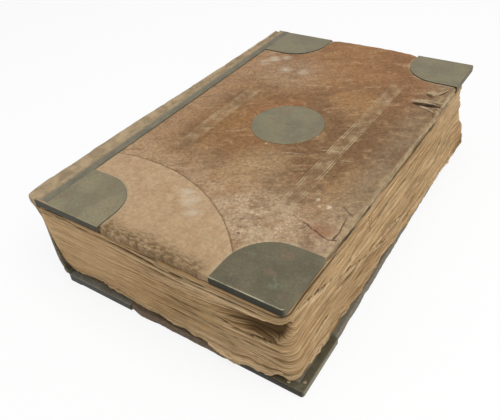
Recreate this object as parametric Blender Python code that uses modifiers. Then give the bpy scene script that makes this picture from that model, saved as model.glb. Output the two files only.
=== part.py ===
"""A large antique account book: leather covered boards with brass corner plates, lying on its back cover.

Metres, +Z up. +X runs from the spine to the fore edge of the pages, +Y from the tail to the head.
The book leans a little, so the back cover sits further to the fore edge than the front one.
"""

import math

import bmesh
import bpy
from mathutils import Matrix

# Covers: each is a leather covered board with thin metal folded round its corners.
COVER_LENGTH = 0.450
COVER_WIDTH = 0.277
BOARD_THICKNESS = 0.0075
BOARD_EDGE_ROUND = 0.0016
SHEET_METAL = 0.0009
CLEARANCE = 0.0003

# Corner plates: reach along the tail or head edge, reach along the fore edge.
PLATE_REACH_X = 0.069
PLATE_REACH_Y = 0.064
PLATE_INNER_ROUND = 0.042
PLATE_OUTER_ROUND = 0.003
PLATE_FOLD_ROUND = 0.0012
FLANGE_WIDTH = 0.007

# Nails through the plates' inner flanges.
NAIL_HEAD_RADIUS = 0.0016
NAIL_HEAD_HEIGHT = 0.0005
NAIL_SHANK_RADIUS = 0.0007
NAIL_LENGTH = 0.0050
NAIL_FROM_EDGE = 0.0038
NAIL_FROM_CORNER_X = 0.0155
NAIL_FROM_CORNER_Y = 0.0100
NAIL_FROM_PLATE_END = 0.0130

# The round plate in the middle of the front cover.
DISC_RADIUS = 0.040
DISC_EDGE_ROUND = 0.0003
DISC_CENTRE_X = 0.145
DISC_CENTRE_Y = 0.003
DISC_NAIL_RADIUS = 0.0020
DISC_NAIL_LENGTH = 0.0050

# The margin of spine leather that laps onto each board, beside the corner plates.
STRIP_WIDTH = 0.016

# How far the boards' edges are worn back between the plates.
FRONT_WEAR_FORE = 0.0006
FRONT_WEAR_TAIL = 0.0006
FRONT_WEAR_HEAD = 0.0015
BACK_WEAR_FORE = 0.0055
BACK_WEAR_TAIL = 0.0015
BACK_WEAR_HEAD = 0.0020
WEAR_RAMP = 0.014
WEAR_STEP = 0.012
LOST_CORNER_ROUND = 0.020

# Pages: one swollen block, a little longer at the bottom of the fore edge than at the top.
PAGES_THICKNESS = 0.0845
PAGES_LENGTH = 0.4415
PAGES_TAIL_OVERHANG = 0.0010
PAGES_TAIL_SETBACK = 0.0068
PAGES_FORE_TOP = 0.0015
PAGES_FORE_BOTTOM = 0.0085
PAGES_FORE_BELLY = 0.0030
PAGES_ROUND_TAIL = 0.014
PAGES_ROUND_HEAD = 0.024
PAGES_ROUND_SPINE = 0.0015
PAGES_WAVE = 0.0018
PAGES_LEDGE = 0.0006
STRATA = 20

# Spine leather: a sheet with a thick rolled edge along the front joint.
SPINE_LEATHER = 0.0025
SPINE_TO_FRONT_EDGE = 0.0010
ROLL_RADIUS = 0.0042
ROLL_DROOP = 0.0010
ROLL_BULGE = 0.0070
ROLL_HEAD_TAPER = 0.0030
SPINE_SLOPE_HEIGHT = 0.0180
SPINE_FOOT_HEIGHT = 0.0160
SPINE_FOOT_DEPTH = 0.0052

# Where the covers lie. The origin is under the middle of the whole book.
FRONT_SPINE_EDGE = -0.138
BACK_SHIFT = 0.0113
BACK_SKEW = math.radians(0.6)
FRONT_HINGE_OUT = 0.0005
BACK_HINGE_OUT = 0.0050

# Worked out from the above.
EDGE_GAP = SHEET_METAL + CLEARANCE
COVER_THICKNESS = EDGE_GAP + BOARD_THICKNESS
BOARD_WIDTH = COVER_WIDTH - EDGE_GAP
BOARD_HALF_LENGTH = COVER_LENGTH / 2 - EDGE_GAP
FLANGE_FACE = COVER_THICKNESS - NAIL_HEAD_HEIGHT - CLEARANCE
PAGES_BOTTOM = COVER_THICKNESS + CLEARANCE
PAGES_TOP = PAGES_BOTTOM + PAGES_THICKNESS
BOOK_THICKNESS = PAGES_TOP + CLEARANCE + COVER_THICKNESS
NAIL_HOLE_RADIUS = NAIL_SHANK_RADIUS + CLEARANCE
PAGES_BACK = FRONT_SPINE_EDGE + FRONT_HINGE_OUT + SPINE_LEATHER + CLEARANCE + SPINE_TO_FRONT_EDGE
SPINE_BACK = PAGES_BACK - CLEARANCE - SPINE_LEATHER

MERGE = 0.00001
ROUND_SEGMENTS = 48
NAIL_SEGMENTS = 8
TAIL = "tail"
HEAD = "head"

LEATHER = ("cover_leather", (0.28, 0.16, 0.075), 0.7, 0.0)
SPINE = ("spine_leather", (0.13, 0.125, 0.095), 0.75, 0.0)
BRASS = ("patinated_brass", (0.19, 0.18, 0.12), 0.55, 0.8)
PAPER = ("old_paper", (0.42, 0.28, 0.15), 0.9, 0.0)


def clear_scene():
    for old in list(bpy.data.objects):
        bpy.data.objects.remove(old, do_unlink=True)


def collection(name):
    made = bpy.data.collections.new(name)
    bpy.context.scene.collection.children.link(made)
    return made


def material(name, colour, roughness, metallic):
    """The material of this name, made on first use."""
    made = bpy.data.materials.get(name)
    if made is None:
        made = bpy.data.materials.new(name)
        made.use_nodes = True
        shader = made.node_tree.nodes["Principled BSDF"]
        shader.inputs["Base Color"].default_value = (*colour, 1.0)
        shader.inputs["Roughness"].default_value = roughness
        shader.inputs["Metallic"].default_value = metallic
        made.diffuse_color = (*colour, 1.0)
    return made


def add_object(name, data, finish, home, parent=None):
    """Links an object under its parent, whose frame its mesh is modelled in."""
    made = bpy.data.objects.new(name, data)
    if finish:
        data.materials.append(material(name + "_" + finish[0], *finish[1:]))
    made.parent = parent
    home.objects.link(made)
    return made


def add_cutter(name, data, parent):
    made = add_object(name, data, None, bpy.data.collections["cutters"], parent)
    made.hide_render = True
    made.display_type = "WIRE"
    return made


def mesh_from(bm, name):
    mesh = bpy.data.meshes.new(name)
    bm.to_mesh(mesh)
    bm.free()
    return mesh


def smooth_step(value):
    value = min(max(value, 0.0), 1.0)
    return value * value * (3 - 2 * value)


def arc(centre_x, centre_y, radius, start, end, steps):
    """Points on an arc, from one angle to the other in degrees, both ends included."""
    angles = [math.radians(start + (end - start) * i / steps) for i in range(steps + 1)]
    return [(centre_x + radius * math.cos(a), centre_y + radius * math.sin(a)) for a in angles]


def smooth_line(points, steps):
    """A smooth line through the points (Catmull-Rom), with so many steps from each to the next."""
    ends = [points[0], *points, points[-1]]
    line = []
    for before, start, end, after in zip(ends, ends[1:], ends[2:], ends[3:]):
        for i in range(steps):
            t = i / steps
            line.append(tuple(
                b + 0.5 * t * (c - a + t * (2 * a - 5 * b + 4 * c - d + t * (3 * (b - c) + d - a)))
                for a, b, c, d in zip(before, start, end, after)))
    return [*line, points[-1]]


def slab(name, outline, low, high, edge_round):
    """A flat solid with rounded rims, from a filled 2D outline, as a closed mesh."""
    curve = bpy.data.curves.new(name, "CURVE")
    curve.dimensions = "2D"
    curve.fill_mode = "BOTH"
    curve.extrude = (high - low) / 2 - edge_round
    curve.bevel_depth = edge_round
    curve.bevel_resolution = 1
    curve.offset = -edge_round
    spline = curve.splines.new("POLY")
    spline.points.add(len(outline) - 1)
    for point, (x, y) in zip(spline.points, outline):
        point.co = (x, y, 0, 1)
    spline.use_cyclic_u = True
    holder = bpy.data.objects.new(name, curve)
    bpy.context.scene.collection.objects.link(holder)
    bpy.context.view_layer.update()
    evaluated = holder.evaluated_get(bpy.context.evaluated_depsgraph_get())
    mesh = bpy.data.meshes.new_from_object(evaluated)
    bpy.data.objects.remove(holder)
    bm = bmesh.new()
    bm.from_mesh(mesh)
    bmesh.ops.remove_doubles(bm, verts=bm.verts, dist=MERGE)
    bmesh.ops.translate(bm, verts=bm.verts, vec=(0, 0, (low + high) / 2))
    bm.to_mesh(mesh)
    bm.free()
    mesh.name = name
    return mesh


def prism(name, outline, low, high):
    """A plain upright prism on an outline that runs anticlockwise."""
    bm = bmesh.new()
    base = bm.faces.new([bm.verts.new((x, y, low)) for x, y in outline])
    base.normal_update()
    raised = bmesh.ops.extrude_face_region(bm, geom=[base], use_keep_orig=True)["geom"]
    corners = [item for item in raised if isinstance(item, bmesh.types.BMVert)]
    bmesh.ops.translate(bm, verts=corners, vec=(0, 0, high - low))
    bmesh.ops.recalc_face_normals(bm, faces=bm.faces)
    return mesh_from(bm, name)


def turned(name, profile, finish, home, parent, segments, place=(0, 0, 0)):
    """A round solid about its own Z axis, from a profile of (radius, height) run down its outer side."""
    bm = bmesh.new()
    verts = [bm.verts.new((radius, 0, height)) for radius, height in profile]
    for start, end in zip(verts, verts[1:]):
        bm.edges.new((start, end))
    if profile[0][0] > 0:
        bm.edges.new((verts[-1], verts[0]))
    made = add_object(name, mesh_from(bm, name), finish, home, parent)
    made.location = place
    screw = made.modifiers.new("turn", "SCREW")
    screw.angle = math.tau
    screw.steps = segments
    screw.render_steps = segments
    screw.use_merge_vertices = True
    screw.merge_threshold = MERGE
    screw.use_smooth_shade = True
    return made


def cut(target, cutter):
    boolean = target.modifiers.new("cut_" + cutter.name, "BOOLEAN")
    boolean.operation = "DIFFERENCE"
    boolean.solver = "EXACT"
    boolean.object = cutter


def loft(name, sections, home, finish):
    """A closed solid through closed sections of equally many points, with flat ends."""
    bm = bmesh.new()
    rows = [[bm.verts.new(point) for point in section] for section in sections]
    for lower, upper in zip(rows, rows[1:]):
        for i, start in enumerate(lower):
            j = (i + 1) % len(lower)
            bm.faces.new((start, lower[j], upper[j], upper[i]))
    bm.faces.new(rows[0])
    bm.faces.new(rows[-1])
    bmesh.ops.recalc_face_normals(bm, faces=bm.faces)
    bmesh.ops.triangulate(bm, faces=bm.faces)
    return add_object(name, mesh_from(bm, name), finish, home)


# Covers. Each is modelled in its own frame: X from its spine edge, Y along it from its middle,
# Z from the plates' outer face inwards to the pages. The front one is then turned over.


def worn_inset(along, start, end, depth):
    """How far an edge is worn back at a place along it, fading out at the plates where it has them."""
    fade = 1.0
    if start is not None:
        fade *= smooth_step((along - start) / WEAR_RAMP)
    if end is not None:
        fade *= smooth_step((end - along) / WEAR_RAMP)
    ripple = 0.20 * math.sin(along / 0.0110) + 0.12 * math.sin(along / 0.0043 + 1.0)
    return depth * fade * (1 + ripple)


def steps_between(low, high):
    count = round((high - low) / WEAR_STEP)
    return [low + (high - low) * i / count for i in range(count + 1)]


def board_outline(wear_low, wear_fore, wear_high, lost_corner):
    """The board's outline, anticlockwise. lost_corner: its far fore corner has no plate and is worn round."""
    half = BOARD_HALF_LENGTH
    corner = PLATE_OUTER_ROUND - EDGE_GAP
    first_x = STRIP_WIDTH + PLATE_REACH_X
    last_x = BOARD_WIDTH - PLATE_REACH_X
    first_y = -half + PLATE_REACH_Y
    last_y = half - PLATE_REACH_Y
    outline = [(0, -half)]
    outline += [(x, -half + worn_inset(x, first_x, last_x, wear_low)) for x in steps_between(first_x, last_x)]
    outline += arc(BOARD_WIDTH - corner, -half + corner, corner, -90, 0, 3)
    if lost_corner:
        top_x = BOARD_WIDTH - LOST_CORNER_ROUND - wear_fore
        top_y = half - LOST_CORNER_ROUND - wear_high
        fore_end = None
        ys = steps_between(first_y, top_y)[:-1]
        xs = steps_between(top_x, first_x)[1:]
        far_corner = arc(top_x, top_y, LOST_CORNER_ROUND, 0, 90, 6)
    else:
        fore_end = last_y
        ys = steps_between(first_y, last_y)
        xs = [*reversed(steps_between(first_x, last_x))]
        far_corner = arc(BOARD_WIDTH - corner, half - corner, corner, 0, 90, 3)
    outline += [(BOARD_WIDTH - worn_inset(y, first_y, fore_end, wear_fore), y) for y in ys]
    outline += far_corner
    far_end = None if lost_corner else last_x
    outline += [(x, half - worn_inset(x, first_x, far_end, wear_high)) for x in xs]
    return outline + [(0, half)]


def plate_shape(at_fore):
    """A corner plate's outer outline and the line that it folds along, in the corner's own frame.

    In that frame u runs along the tail or head edge and v along the fore edge, both from the corner
    inwards. A spine plate has no fore edge: its u runs from the strip beside it, and its fold reaches
    on under the strip's end to the board's spine edge.
    """
    round_x = PLATE_REACH_X - PLATE_INNER_ROUND
    round_y = PLATE_REACH_Y - PLATE_INNER_ROUND
    inner = arc(round_x, round_y, PLATE_INNER_ROUND, 0, 90, 10)
    if at_fore:
        corner = arc(PLATE_OUTER_ROUND, PLATE_OUTER_ROUND, PLATE_OUTER_ROUND, 180, 270, 3)
        fold = [(0, PLATE_REACH_Y), *corner, (PLATE_REACH_X, 0)]
        inside = [(FLANGE_WIDTH, PLATE_REACH_Y), *[(FLANGE_WIDTH, FLANGE_WIDTH)] * len(corner),
                  (PLATE_REACH_X, FLANGE_WIDTH)]
        return [*fold, *inner], fold, inside
    fold = [(-STRIP_WIDTH, 0), (0, 0), (PLATE_REACH_X, 0)]
    inside = [(u, FLANGE_WIDTH) for u, v in fold]
    return [*fold[1:], *inner, (0, PLATE_REACH_Y)], fold, inside


def nail_places(at_fore):
    """Where the two nails stand, in the corner's own frame."""
    if at_fore:
        return [(NAIL_FROM_CORNER_X, NAIL_FROM_EDGE), (NAIL_FROM_EDGE, NAIL_FROM_CORNER_Y)]
    return [(0, NAIL_FROM_EDGE), (PLATE_REACH_X - NAIL_FROM_PLATE_END, NAIL_FROM_EDGE)]


def rebate_outline(at_fore):
    """The board's rebate under the flange, run out past the board's edges."""
    out = -EDGE_GAP
    deep = FLANGE_WIDTH + CLEARANCE
    end = PLATE_REACH_X + CLEARANCE
    if at_fore:
        side = PLATE_REACH_Y + CLEARANCE
        return [(out, out), (end, out), (end, deep), (deep, deep), (deep, side), (out, side)]
    start = -STRIP_WIDTH - EDGE_GAP
    return [(start, out), (end, out), (end, deep), (start, deep)]


def corner_frame(at_fore, end_sign):
    """From a corner's own frame to the cover's: which way u and v run, and where the corner is."""
    def place(point):
        u, v = point
        x = COVER_WIDTH - u if at_fore else STRIP_WIDTH + u
        return x, end_sign * (COVER_LENGTH / 2 - v)
    return place


def anticlockwise(outline):
    area = sum(a[0] * b[1] - b[0] * a[1] for a, b in zip(outline, [*outline[1:], outline[0]]))
    return outline if area > 0 else outline[::-1]


def plate_mesh(name, outline, fold, inside):
    """The plate as an open folded surface: outer sheet, wall round the board's edge, inner flange."""
    bm = bmesh.new()
    sheet = {point: bm.verts.new((*point, 0)) for point in [*outline, *fold]}
    bm.faces.new([sheet[point] for point in outline])
    wall = {point: bm.verts.new((*point, FLANGE_FACE)) for point in fold}
    flange = {point: bm.verts.new((*point, FLANGE_FACE)) for point in inside}
    for i in range(len(fold) - 1):
        start, end = fold[i], fold[i + 1]
        bm.faces.new((sheet[start], sheet[end], wall[end], wall[start]))
        rim = [wall[start], wall[end], flange[inside[i + 1]]]
        if inside[i] != inside[i + 1]:
            rim.append(flange[inside[i]])
        bm.faces.new(rim)
    bmesh.ops.recalc_face_normals(bm, faces=bm.faces)
    bm.faces.ensure_lookup_table()
    if bm.faces[0].normal.z > 0:
        bmesh.ops.reverse_faces(bm, faces=bm.faces)
    return mesh_from(bm, name)


def nail_holes(name, places, parent, radius, low, high):
    """One cutter with a short round bore at each place."""
    bm = bmesh.new()
    for x, y in places:
        middle = Matrix.Translation((x, y, (low + high) / 2))
        bmesh.ops.create_cone(bm, cap_ends=True, segments=NAIL_SEGMENTS, radius1=radius, radius2=radius,
                              depth=high - low, matrix=middle)
    return add_cutter(name, mesh_from(bm, name), parent)


def add_plate(cover, end, at_fore, end_sign, board, home, pivot):
    """One corner plate with its nails, and the room for them in the board."""
    name = f"{cover}_plate_{end}_{'fore' if at_fore else 'spine'}"
    place = corner_frame(at_fore, end_sign)
    outline, fold, inside = ([place(point) for point in part] for part in plate_shape(at_fore))
    plate = add_object(name, plate_mesh(name, outline, fold, inside), BRASS, home, pivot)
    bevel = plate.modifiers.new("fold", "BEVEL")
    bevel.width = PLATE_FOLD_ROUND
    bevel.segments = 2
    bevel.limit_method = "ANGLE"
    bevel.angle_limit = math.radians(50)
    solid = plate.modifiers.new("sheet", "SOLIDIFY")
    solid.thickness = SHEET_METAL
    solid.offset = -1
    solid.use_even_offset = True
    rebate_floor = FLANGE_FACE - SHEET_METAL - CLEARANCE
    rebate = prism(name + "_rebate", anticlockwise([place(point) for point in rebate_outline(at_fore)]),
                   rebate_floor, COVER_THICKNESS + EDGE_GAP)
    cut(board, add_cutter(name + "_rebate", rebate, pivot))
    nails = [place(point) for point in nail_places(at_fore)]
    head_seat = FLANGE_FACE + CLEARANCE
    holes = nail_holes(name + "_holes", nails, pivot, NAIL_HOLE_RADIUS,
                       head_seat - NAIL_LENGTH - CLEARANCE, COVER_THICKNESS + EDGE_GAP)
    cut(plate, holes)
    cut(board, holes)
    for number, (x, y) in enumerate(nails, 1):
        dome = [(NAIL_HEAD_RADIUS * math.sin(a), NAIL_HEAD_HEIGHT * math.cos(a))
                for a in (0, math.radians(50), math.radians(90))]
        tip = [(NAIL_SHANK_RADIUS, 0), (NAIL_SHANK_RADIUS, -NAIL_LENGTH * 0.7), (0, -NAIL_LENGTH)]
        turned(f"{name}_nail_{number}", dome + tip, BRASS, home, pivot, NAIL_SEGMENTS, (x, y, head_seat))


def add_cover(cover, tail_sign, wear_low, wear_fore, wear_high, lost_corner, home, pivot):
    """A board, its strip of spine leather and its corner plates, all riding on the hinge's empty."""
    outline = board_outline(wear_low, wear_fore, wear_high, lost_corner)
    mesh = slab(cover + "_board", outline, EDGE_GAP, COVER_THICKNESS, BOARD_EDGE_ROUND)
    board = add_object(cover + "_board", mesh, LEATHER, home, pivot)
    reach = BOARD_HALF_LENGTH - 2 * CLEARANCE
    strip = [(0, -reach), (STRIP_WIDTH - CLEARANCE, -reach), (STRIP_WIDTH - CLEARANCE, reach), (0, reach)]
    strip_mesh = slab(cover + "_spine_strip", strip, 0, SHEET_METAL, SHEET_METAL / 4)
    add_object(cover + "_spine_strip", strip_mesh, SPINE, home, pivot)
    for end, end_sign in ((TAIL, tail_sign), (HEAD, -tail_sign)):
        for at_fore in (False, True):
            if not (lost_corner and at_fore and end == HEAD):
                add_plate(cover, end, at_fore, end_sign, board, home, pivot)
    return board


def add_disc(board, home, pivot):
    """The round plate and the countersunk nail that holds it, flush with the corner plates."""
    centre = (DISC_CENTRE_X, -DISC_CENTRE_Y, 0)
    wide = DISC_NAIL_RADIUS + CLEARANCE
    narrow = NAIL_HOLE_RADIUS + CLEARANCE
    rim = DISC_RADIUS - DISC_EDGE_ROUND
    top = SHEET_METAL
    ring = [(narrow, top), (rim, top), (DISC_RADIUS, top - DISC_EDGE_ROUND),
            (DISC_RADIUS, DISC_EDGE_ROUND), (rim, 0), (wide, 0)]
    turned("front_disc", ring, BRASS, home, pivot, ROUND_SEGMENTS, centre)
    nail = [(0, DISC_NAIL_LENGTH), (NAIL_HOLE_RADIUS, DISC_NAIL_LENGTH * 0.8), (NAIL_HOLE_RADIUS, top),
            (DISC_NAIL_RADIUS, 0), (0, 0)]
    turned("front_disc_nail", nail, BRASS, home, pivot, NAIL_SEGMENTS, centre)
    hole = nail_holes("front_disc_hole", [centre[:2]], pivot, narrow, 0, DISC_NAIL_LENGTH + CLEARANCE)
    cut(board, hole)


# Spine and pages.


def roll_bulge(along):
    """How far the rolled edge stands out at a share of the length from the tail."""
    return ROLL_BULGE * math.sin(math.pi * along ** 1.3) - ROLL_HEAD_TAPER * along ** 4


def spine_section(along):
    """The spine leather's closed section in X and Z, at a share of the length from the tail."""
    roll_x = FRONT_SPINE_EDGE - SPINE_TO_FRONT_EDGE - ROLL_RADIUS
    roll_z = BOOK_THICKNESS - CLEARANCE - ROLL_RADIUS
    bulge = roll_bulge(along)
    over = [(x - bulge * weight, z) for (x, z), weight in zip(
        arc(roll_x, roll_z, ROLL_RADIUS, 30, 190, 4), (0, 0.2, 0.6, 0.9, 1.0))]
    neck_z = roll_z - ROLL_RADIUS - ROLL_DROOP
    flank_z = neck_z - SPINE_SLOPE_HEIGHT
    foot_z = PAGES_BOTTOM + 2 * CLEARANCE
    outer = smooth_line([
        *over,
        (roll_x - ROLL_RADIUS * 0.75 - bulge * 0.8, neck_z),
        (SPINE_BACK - ROLL_RADIUS * 0.5 - bulge * 0.2, (neck_z + flank_z) / 2),
        (SPINE_BACK, flank_z),
        (SPINE_BACK - SPINE_LEATHER * 0.1, (flank_z + foot_z) / 2),
        (SPINE_BACK, foot_z + SPINE_FOOT_HEIGHT),
        (SPINE_BACK + SPINE_FOOT_DEPTH, foot_z),
    ], 2)
    gap = SPINE_LEATHER
    inner = [
        (SPINE_BACK + SPINE_FOOT_DEPTH + gap, foot_z),
        (SPINE_BACK + gap, foot_z + SPINE_FOOT_HEIGHT),
        (SPINE_BACK + gap, (flank_z + foot_z) / 2),
        (SPINE_BACK + gap, flank_z),
        (SPINE_BACK + gap, PAGES_TOP - ROLL_RADIUS / 2),
        (FRONT_SPINE_EDGE - SPINE_TO_FRONT_EDGE, PAGES_TOP),
    ]
    return [*outer, *inner]


def add_spine(home):
    count = 15
    shares = [i / count for i in range(count + 1)]
    ys = [COVER_LENGTH * (share - 0.5) for share in shares]
    sections = [[(x, y, z) for x, z in spine_section(share)] for share, y in zip(shares, ys)]
    return loft("spine_leather", sections, home, SPINE)


def page_back(height):
    """X of the pages' back at a height above their bottom: straight, with a slanted foot."""
    foot = max(0.0, 1 - height / (SPINE_FOOT_HEIGHT + 2 * CLEARANCE))
    return PAGES_BACK + SPINE_FOOT_DEPTH * foot


def page_ring(height, stratum):
    """The pages' outline at a height above their bottom. Each stratum stands a little in or out."""
    share = height / PAGES_THICKNESS
    front_edge = FRONT_SPINE_EDGE + COVER_WIDTH
    low_y = -COVER_LENGTH / 2 - PAGES_TAIL_OVERHANG + PAGES_TAIL_SETBACK * max(0.0, 1 - share) ** 1.6
    high_y = -COVER_LENGTH / 2 + PAGES_LENGTH
    ledge = PAGES_LEDGE * math.sin(2.4 * stratum * stratum + 0.7)
    fore_x = front_edge + PAGES_FORE_BOTTOM + (PAGES_FORE_TOP - PAGES_FORE_BOTTOM) * share
    back_x = page_back(height)
    calm = math.sin(math.pi * share)
    corners = [
        (back_x, low_y, PAGES_ROUND_SPINE, 180),
        (fore_x, low_y, PAGES_ROUND_TAIL, 270),
        (fore_x, high_y, PAGES_ROUND_HEAD, 0),
        (back_x, high_y, PAGES_ROUND_SPINE, 90),
    ]
    turns = ((1, 1), (-1, 1), (-1, -1), (1, -1))
    steps = (2, 4, 5, 2)
    counts = (12, 16, 8, 4)
    arcs = [arc(x + sx * r, y + sy * r, r, start, start + 90, step)
            for (x, y, r, start), (sx, sy), step in zip(corners, turns, steps)]
    ring = []
    for this, following, count in zip(arcs, [*arcs[1:], arcs[0]], counts):
        ring += this
        (x0, y0), (x1, y1) = this[-1], following[0]
        ring += [(x0 + (x1 - x0) * i / count, y0 + (y1 - y0) * i / count) for i in range(1, count)]
    shaped = []
    for x, y in ring:
        from_tail = (y - low_y) / (high_y - low_y)
        forward = smooth_step((x - back_x) / (fore_x - back_x) * 4 - 3)
        wave = math.sin(x / 0.021 + 5 * share) + 0.6 * math.sin(x / 0.009 - 3 * share + stratum)
        fore_wave = math.sin(y / 0.034 + 4 * share) + 0.6 * math.sin(y / 0.014 + stratum)
        belly = PAGES_FORE_BELLY * math.sin(math.pi * min(max(from_tail, 0), 1))
        push_x = forward * (belly + PAGES_WAVE * 0.5 * fore_wave * calm + ledge)
        away = smooth_step((x - back_x) / 0.02)
        push_y = away * (PAGES_WAVE * 0.5 * wave * calm + ledge)
        ends = smooth_step(abs(2 * from_tail - 1) * 6 - 5)
        y_out = push_y * ends * (1 if from_tail > 0.5 else -1)
        lift = 0.0012 * calm * (math.sin(x / 0.045 + y / 0.07) + 0.5 * math.sin(x / 0.017 - y / 0.03))
        shaped.append((x + push_x, y + y_out, PAGES_BOTTOM + height + lift))
    return shaped


def add_pages(home):
    """Strata of leaves, each a band with a small ledge to the next."""
    band = PAGES_THICKNESS / STRATA
    ledge = band * 0.12
    rings = []
    for stratum in range(STRATA):
        low = stratum * band + (ledge if stratum else 0)
        high = (stratum + 1) * band - (ledge if stratum < STRATA - 1 else 0)
        rings += [page_ring(low, stratum), page_ring(high, stratum)]
    return loft("text_block", rings, home, PAPER)


def add_pivot(name, home, place, turn):
    """An empty on a hinge's axis, which runs along the empty's own Y."""
    pivot = bpy.data.objects.new(name, None)
    pivot.location = place
    pivot.rotation_euler = turn
    home.objects.link(pivot)
    return pivot


def settle(pivot, offset):
    """Moves what hangs on a pivot from the cover's frame to the pivot's own."""
    for child in pivot.children:
        child.location = [a + b for a, b in zip(child.location, offset)]


def main():
    clear_scene()
    home = collection("antique_book")
    collection("cutters")

    front_place = (FRONT_SPINE_EDGE - FRONT_HINGE_OUT, 0, BOOK_THICKNESS + CLEARANCE)
    front_pivot = add_pivot("front_hinge_pivot", home, front_place, (math.pi, 0, 0))
    front = add_cover("front", 1, FRONT_WEAR_HEAD, FRONT_WEAR_FORE, FRONT_WEAR_TAIL, False, home, front_pivot)
    add_disc(front, home, front_pivot)

    arm = COVER_WIDTH / 2 + BACK_HINGE_OUT
    centre_x = FRONT_SPINE_EDGE + BACK_SHIFT + COVER_WIDTH / 2
    back_place = (centre_x - arm * math.cos(BACK_SKEW), -arm * math.sin(BACK_SKEW), COVER_THICKNESS / 2)
    back_pivot = add_pivot("back_hinge_pivot", home, back_place, (0, 0, BACK_SKEW))
    add_cover("back", -1, BACK_WEAR_TAIL, BACK_WEAR_FORE, BACK_WEAR_HEAD, True, home, back_pivot)

    bpy.context.view_layer.update()
    settle(front_pivot, (FRONT_HINGE_OUT, 0, CLEARANCE))
    settle(back_pivot, (BACK_HINGE_OUT, 0, -COVER_THICKNESS / 2))

    add_spine(home)
    add_pages(home)
    bpy.context.view_layer.update()


main()
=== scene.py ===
"""An antique leather account book with brass corner plates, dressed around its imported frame.

Metres. +X runs from the spine to the fore edge, +Y from the tail to the head, +Z up.
"""

import math

import bpy
import numpy as np
from bpy.props import FloatProperty, FloatVectorProperty, IntProperty, PointerProperty
from mathutils import Matrix, Vector


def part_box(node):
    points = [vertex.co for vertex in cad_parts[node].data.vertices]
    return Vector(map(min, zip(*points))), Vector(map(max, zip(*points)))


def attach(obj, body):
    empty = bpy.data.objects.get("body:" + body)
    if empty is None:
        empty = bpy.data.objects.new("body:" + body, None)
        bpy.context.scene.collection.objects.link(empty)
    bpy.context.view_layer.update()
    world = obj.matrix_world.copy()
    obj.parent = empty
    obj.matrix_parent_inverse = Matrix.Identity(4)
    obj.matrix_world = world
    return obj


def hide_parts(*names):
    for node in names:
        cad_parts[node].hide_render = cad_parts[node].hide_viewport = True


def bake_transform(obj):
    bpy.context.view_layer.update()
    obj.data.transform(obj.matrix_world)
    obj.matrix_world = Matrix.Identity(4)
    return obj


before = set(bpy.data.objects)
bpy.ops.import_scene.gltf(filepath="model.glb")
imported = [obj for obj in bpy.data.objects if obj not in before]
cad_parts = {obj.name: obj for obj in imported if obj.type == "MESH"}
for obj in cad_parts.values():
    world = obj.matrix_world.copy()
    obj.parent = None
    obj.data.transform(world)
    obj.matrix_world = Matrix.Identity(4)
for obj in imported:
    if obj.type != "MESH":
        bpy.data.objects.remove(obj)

bl_info = {
    "name": "Antique leather book",
    "version": (1, 0, 0),
    "blender": (4, 5, 0),
    "location": "View3D > Sidebar > Book",
    "description": "Builds the pages, leather, metal and stage of an old account book",
    "category": "Object",
}

# Sizes that the frame is made to, in metres.
COVER_LENGTH = 0.450
COVER_WIDTH = 0.277
SPINE_EDGE = -0.138
COVER_THICKNESS = 0.0087
BOARD_FACE = 0.0012
STRIP_WIDTH = 0.016
PLATE_X = 0.069
PLATE_Y = 0.064
PLATE_ROUND = 0.042
FLANGE = 0.007
REBATE_FLOOR = 0.0066
CLEARANCE = 0.0003
BACK_SKEW = math.radians(0.6)
BACK_HINGE = (-0.131692, -0.001503)
BACK_HINGE_OUT = 0.005
BOOK_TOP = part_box("front_plate_tail_fore")[1].z
PAGES_LOW = COVER_THICKNESS + CLEARANCE
PAGES_HIGH = BOOK_TOP - COVER_THICKNESS - CLEARANCE
PAGES_THICK = PAGES_HIGH - PAGES_LOW
PAGES_BACK = -0.1337
SPINE_BACK = -0.1365
SPINE_FOOT_DEPTH = 0.0052
HALF = COVER_LENGTH / 2

# The outline of the pages: how far they reach past the boards or lie back from them, and their corners.
PAGES_LENGTH = 0.4415
PAGES_TAIL_OVERHANG = 0.0010
PAGES_TAIL_SETBACK = 0.0068
PAGES_FORE_BOTTOM = 0.0085
PAGES_FORE_TAPER = 0.0070
PAGES_FOOT_HEIGHT = 0.0166
PAGES_ROUND_TAIL = 0.0110
PAGES_ROUND_HEAD = 0.024

# Where the disc and the pale patch's arc have their centres on the front cover.
DISC_CENTRE = (0.007, 0.003)
PALE_CENTRE = (-0.0793, -0.3160)
PALE_RADIUS = 0.1940


def colour_prop(name, description, default):
    return FloatVectorProperty(name=name, description=description, default=default, size=3, min=0, max=1,
                               subtype="COLOR")


def length_prop(name, description, default):
    return FloatProperty(name=name, description=description, default=default, min=0, unit="LENGTH",
                         precision=5)


class BookSizes(bpy.types.PropertyGroup):
    """Sizes of the book's visible detail."""

    layers: IntProperty(name="Layers", description="Layers of leaves modelled in the pages", default=122,
                        min=10)
    waviness: length_prop("Waviness", "How far the pages' edges wander", 0.0016)
    leather_step: length_prop("Leather step", "Spacing of the points in the covers' leather", 0.0021)
    wrinkle: length_prop("Wrinkle", "Height of the wrinkles in the leather", 0.0004)


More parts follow.
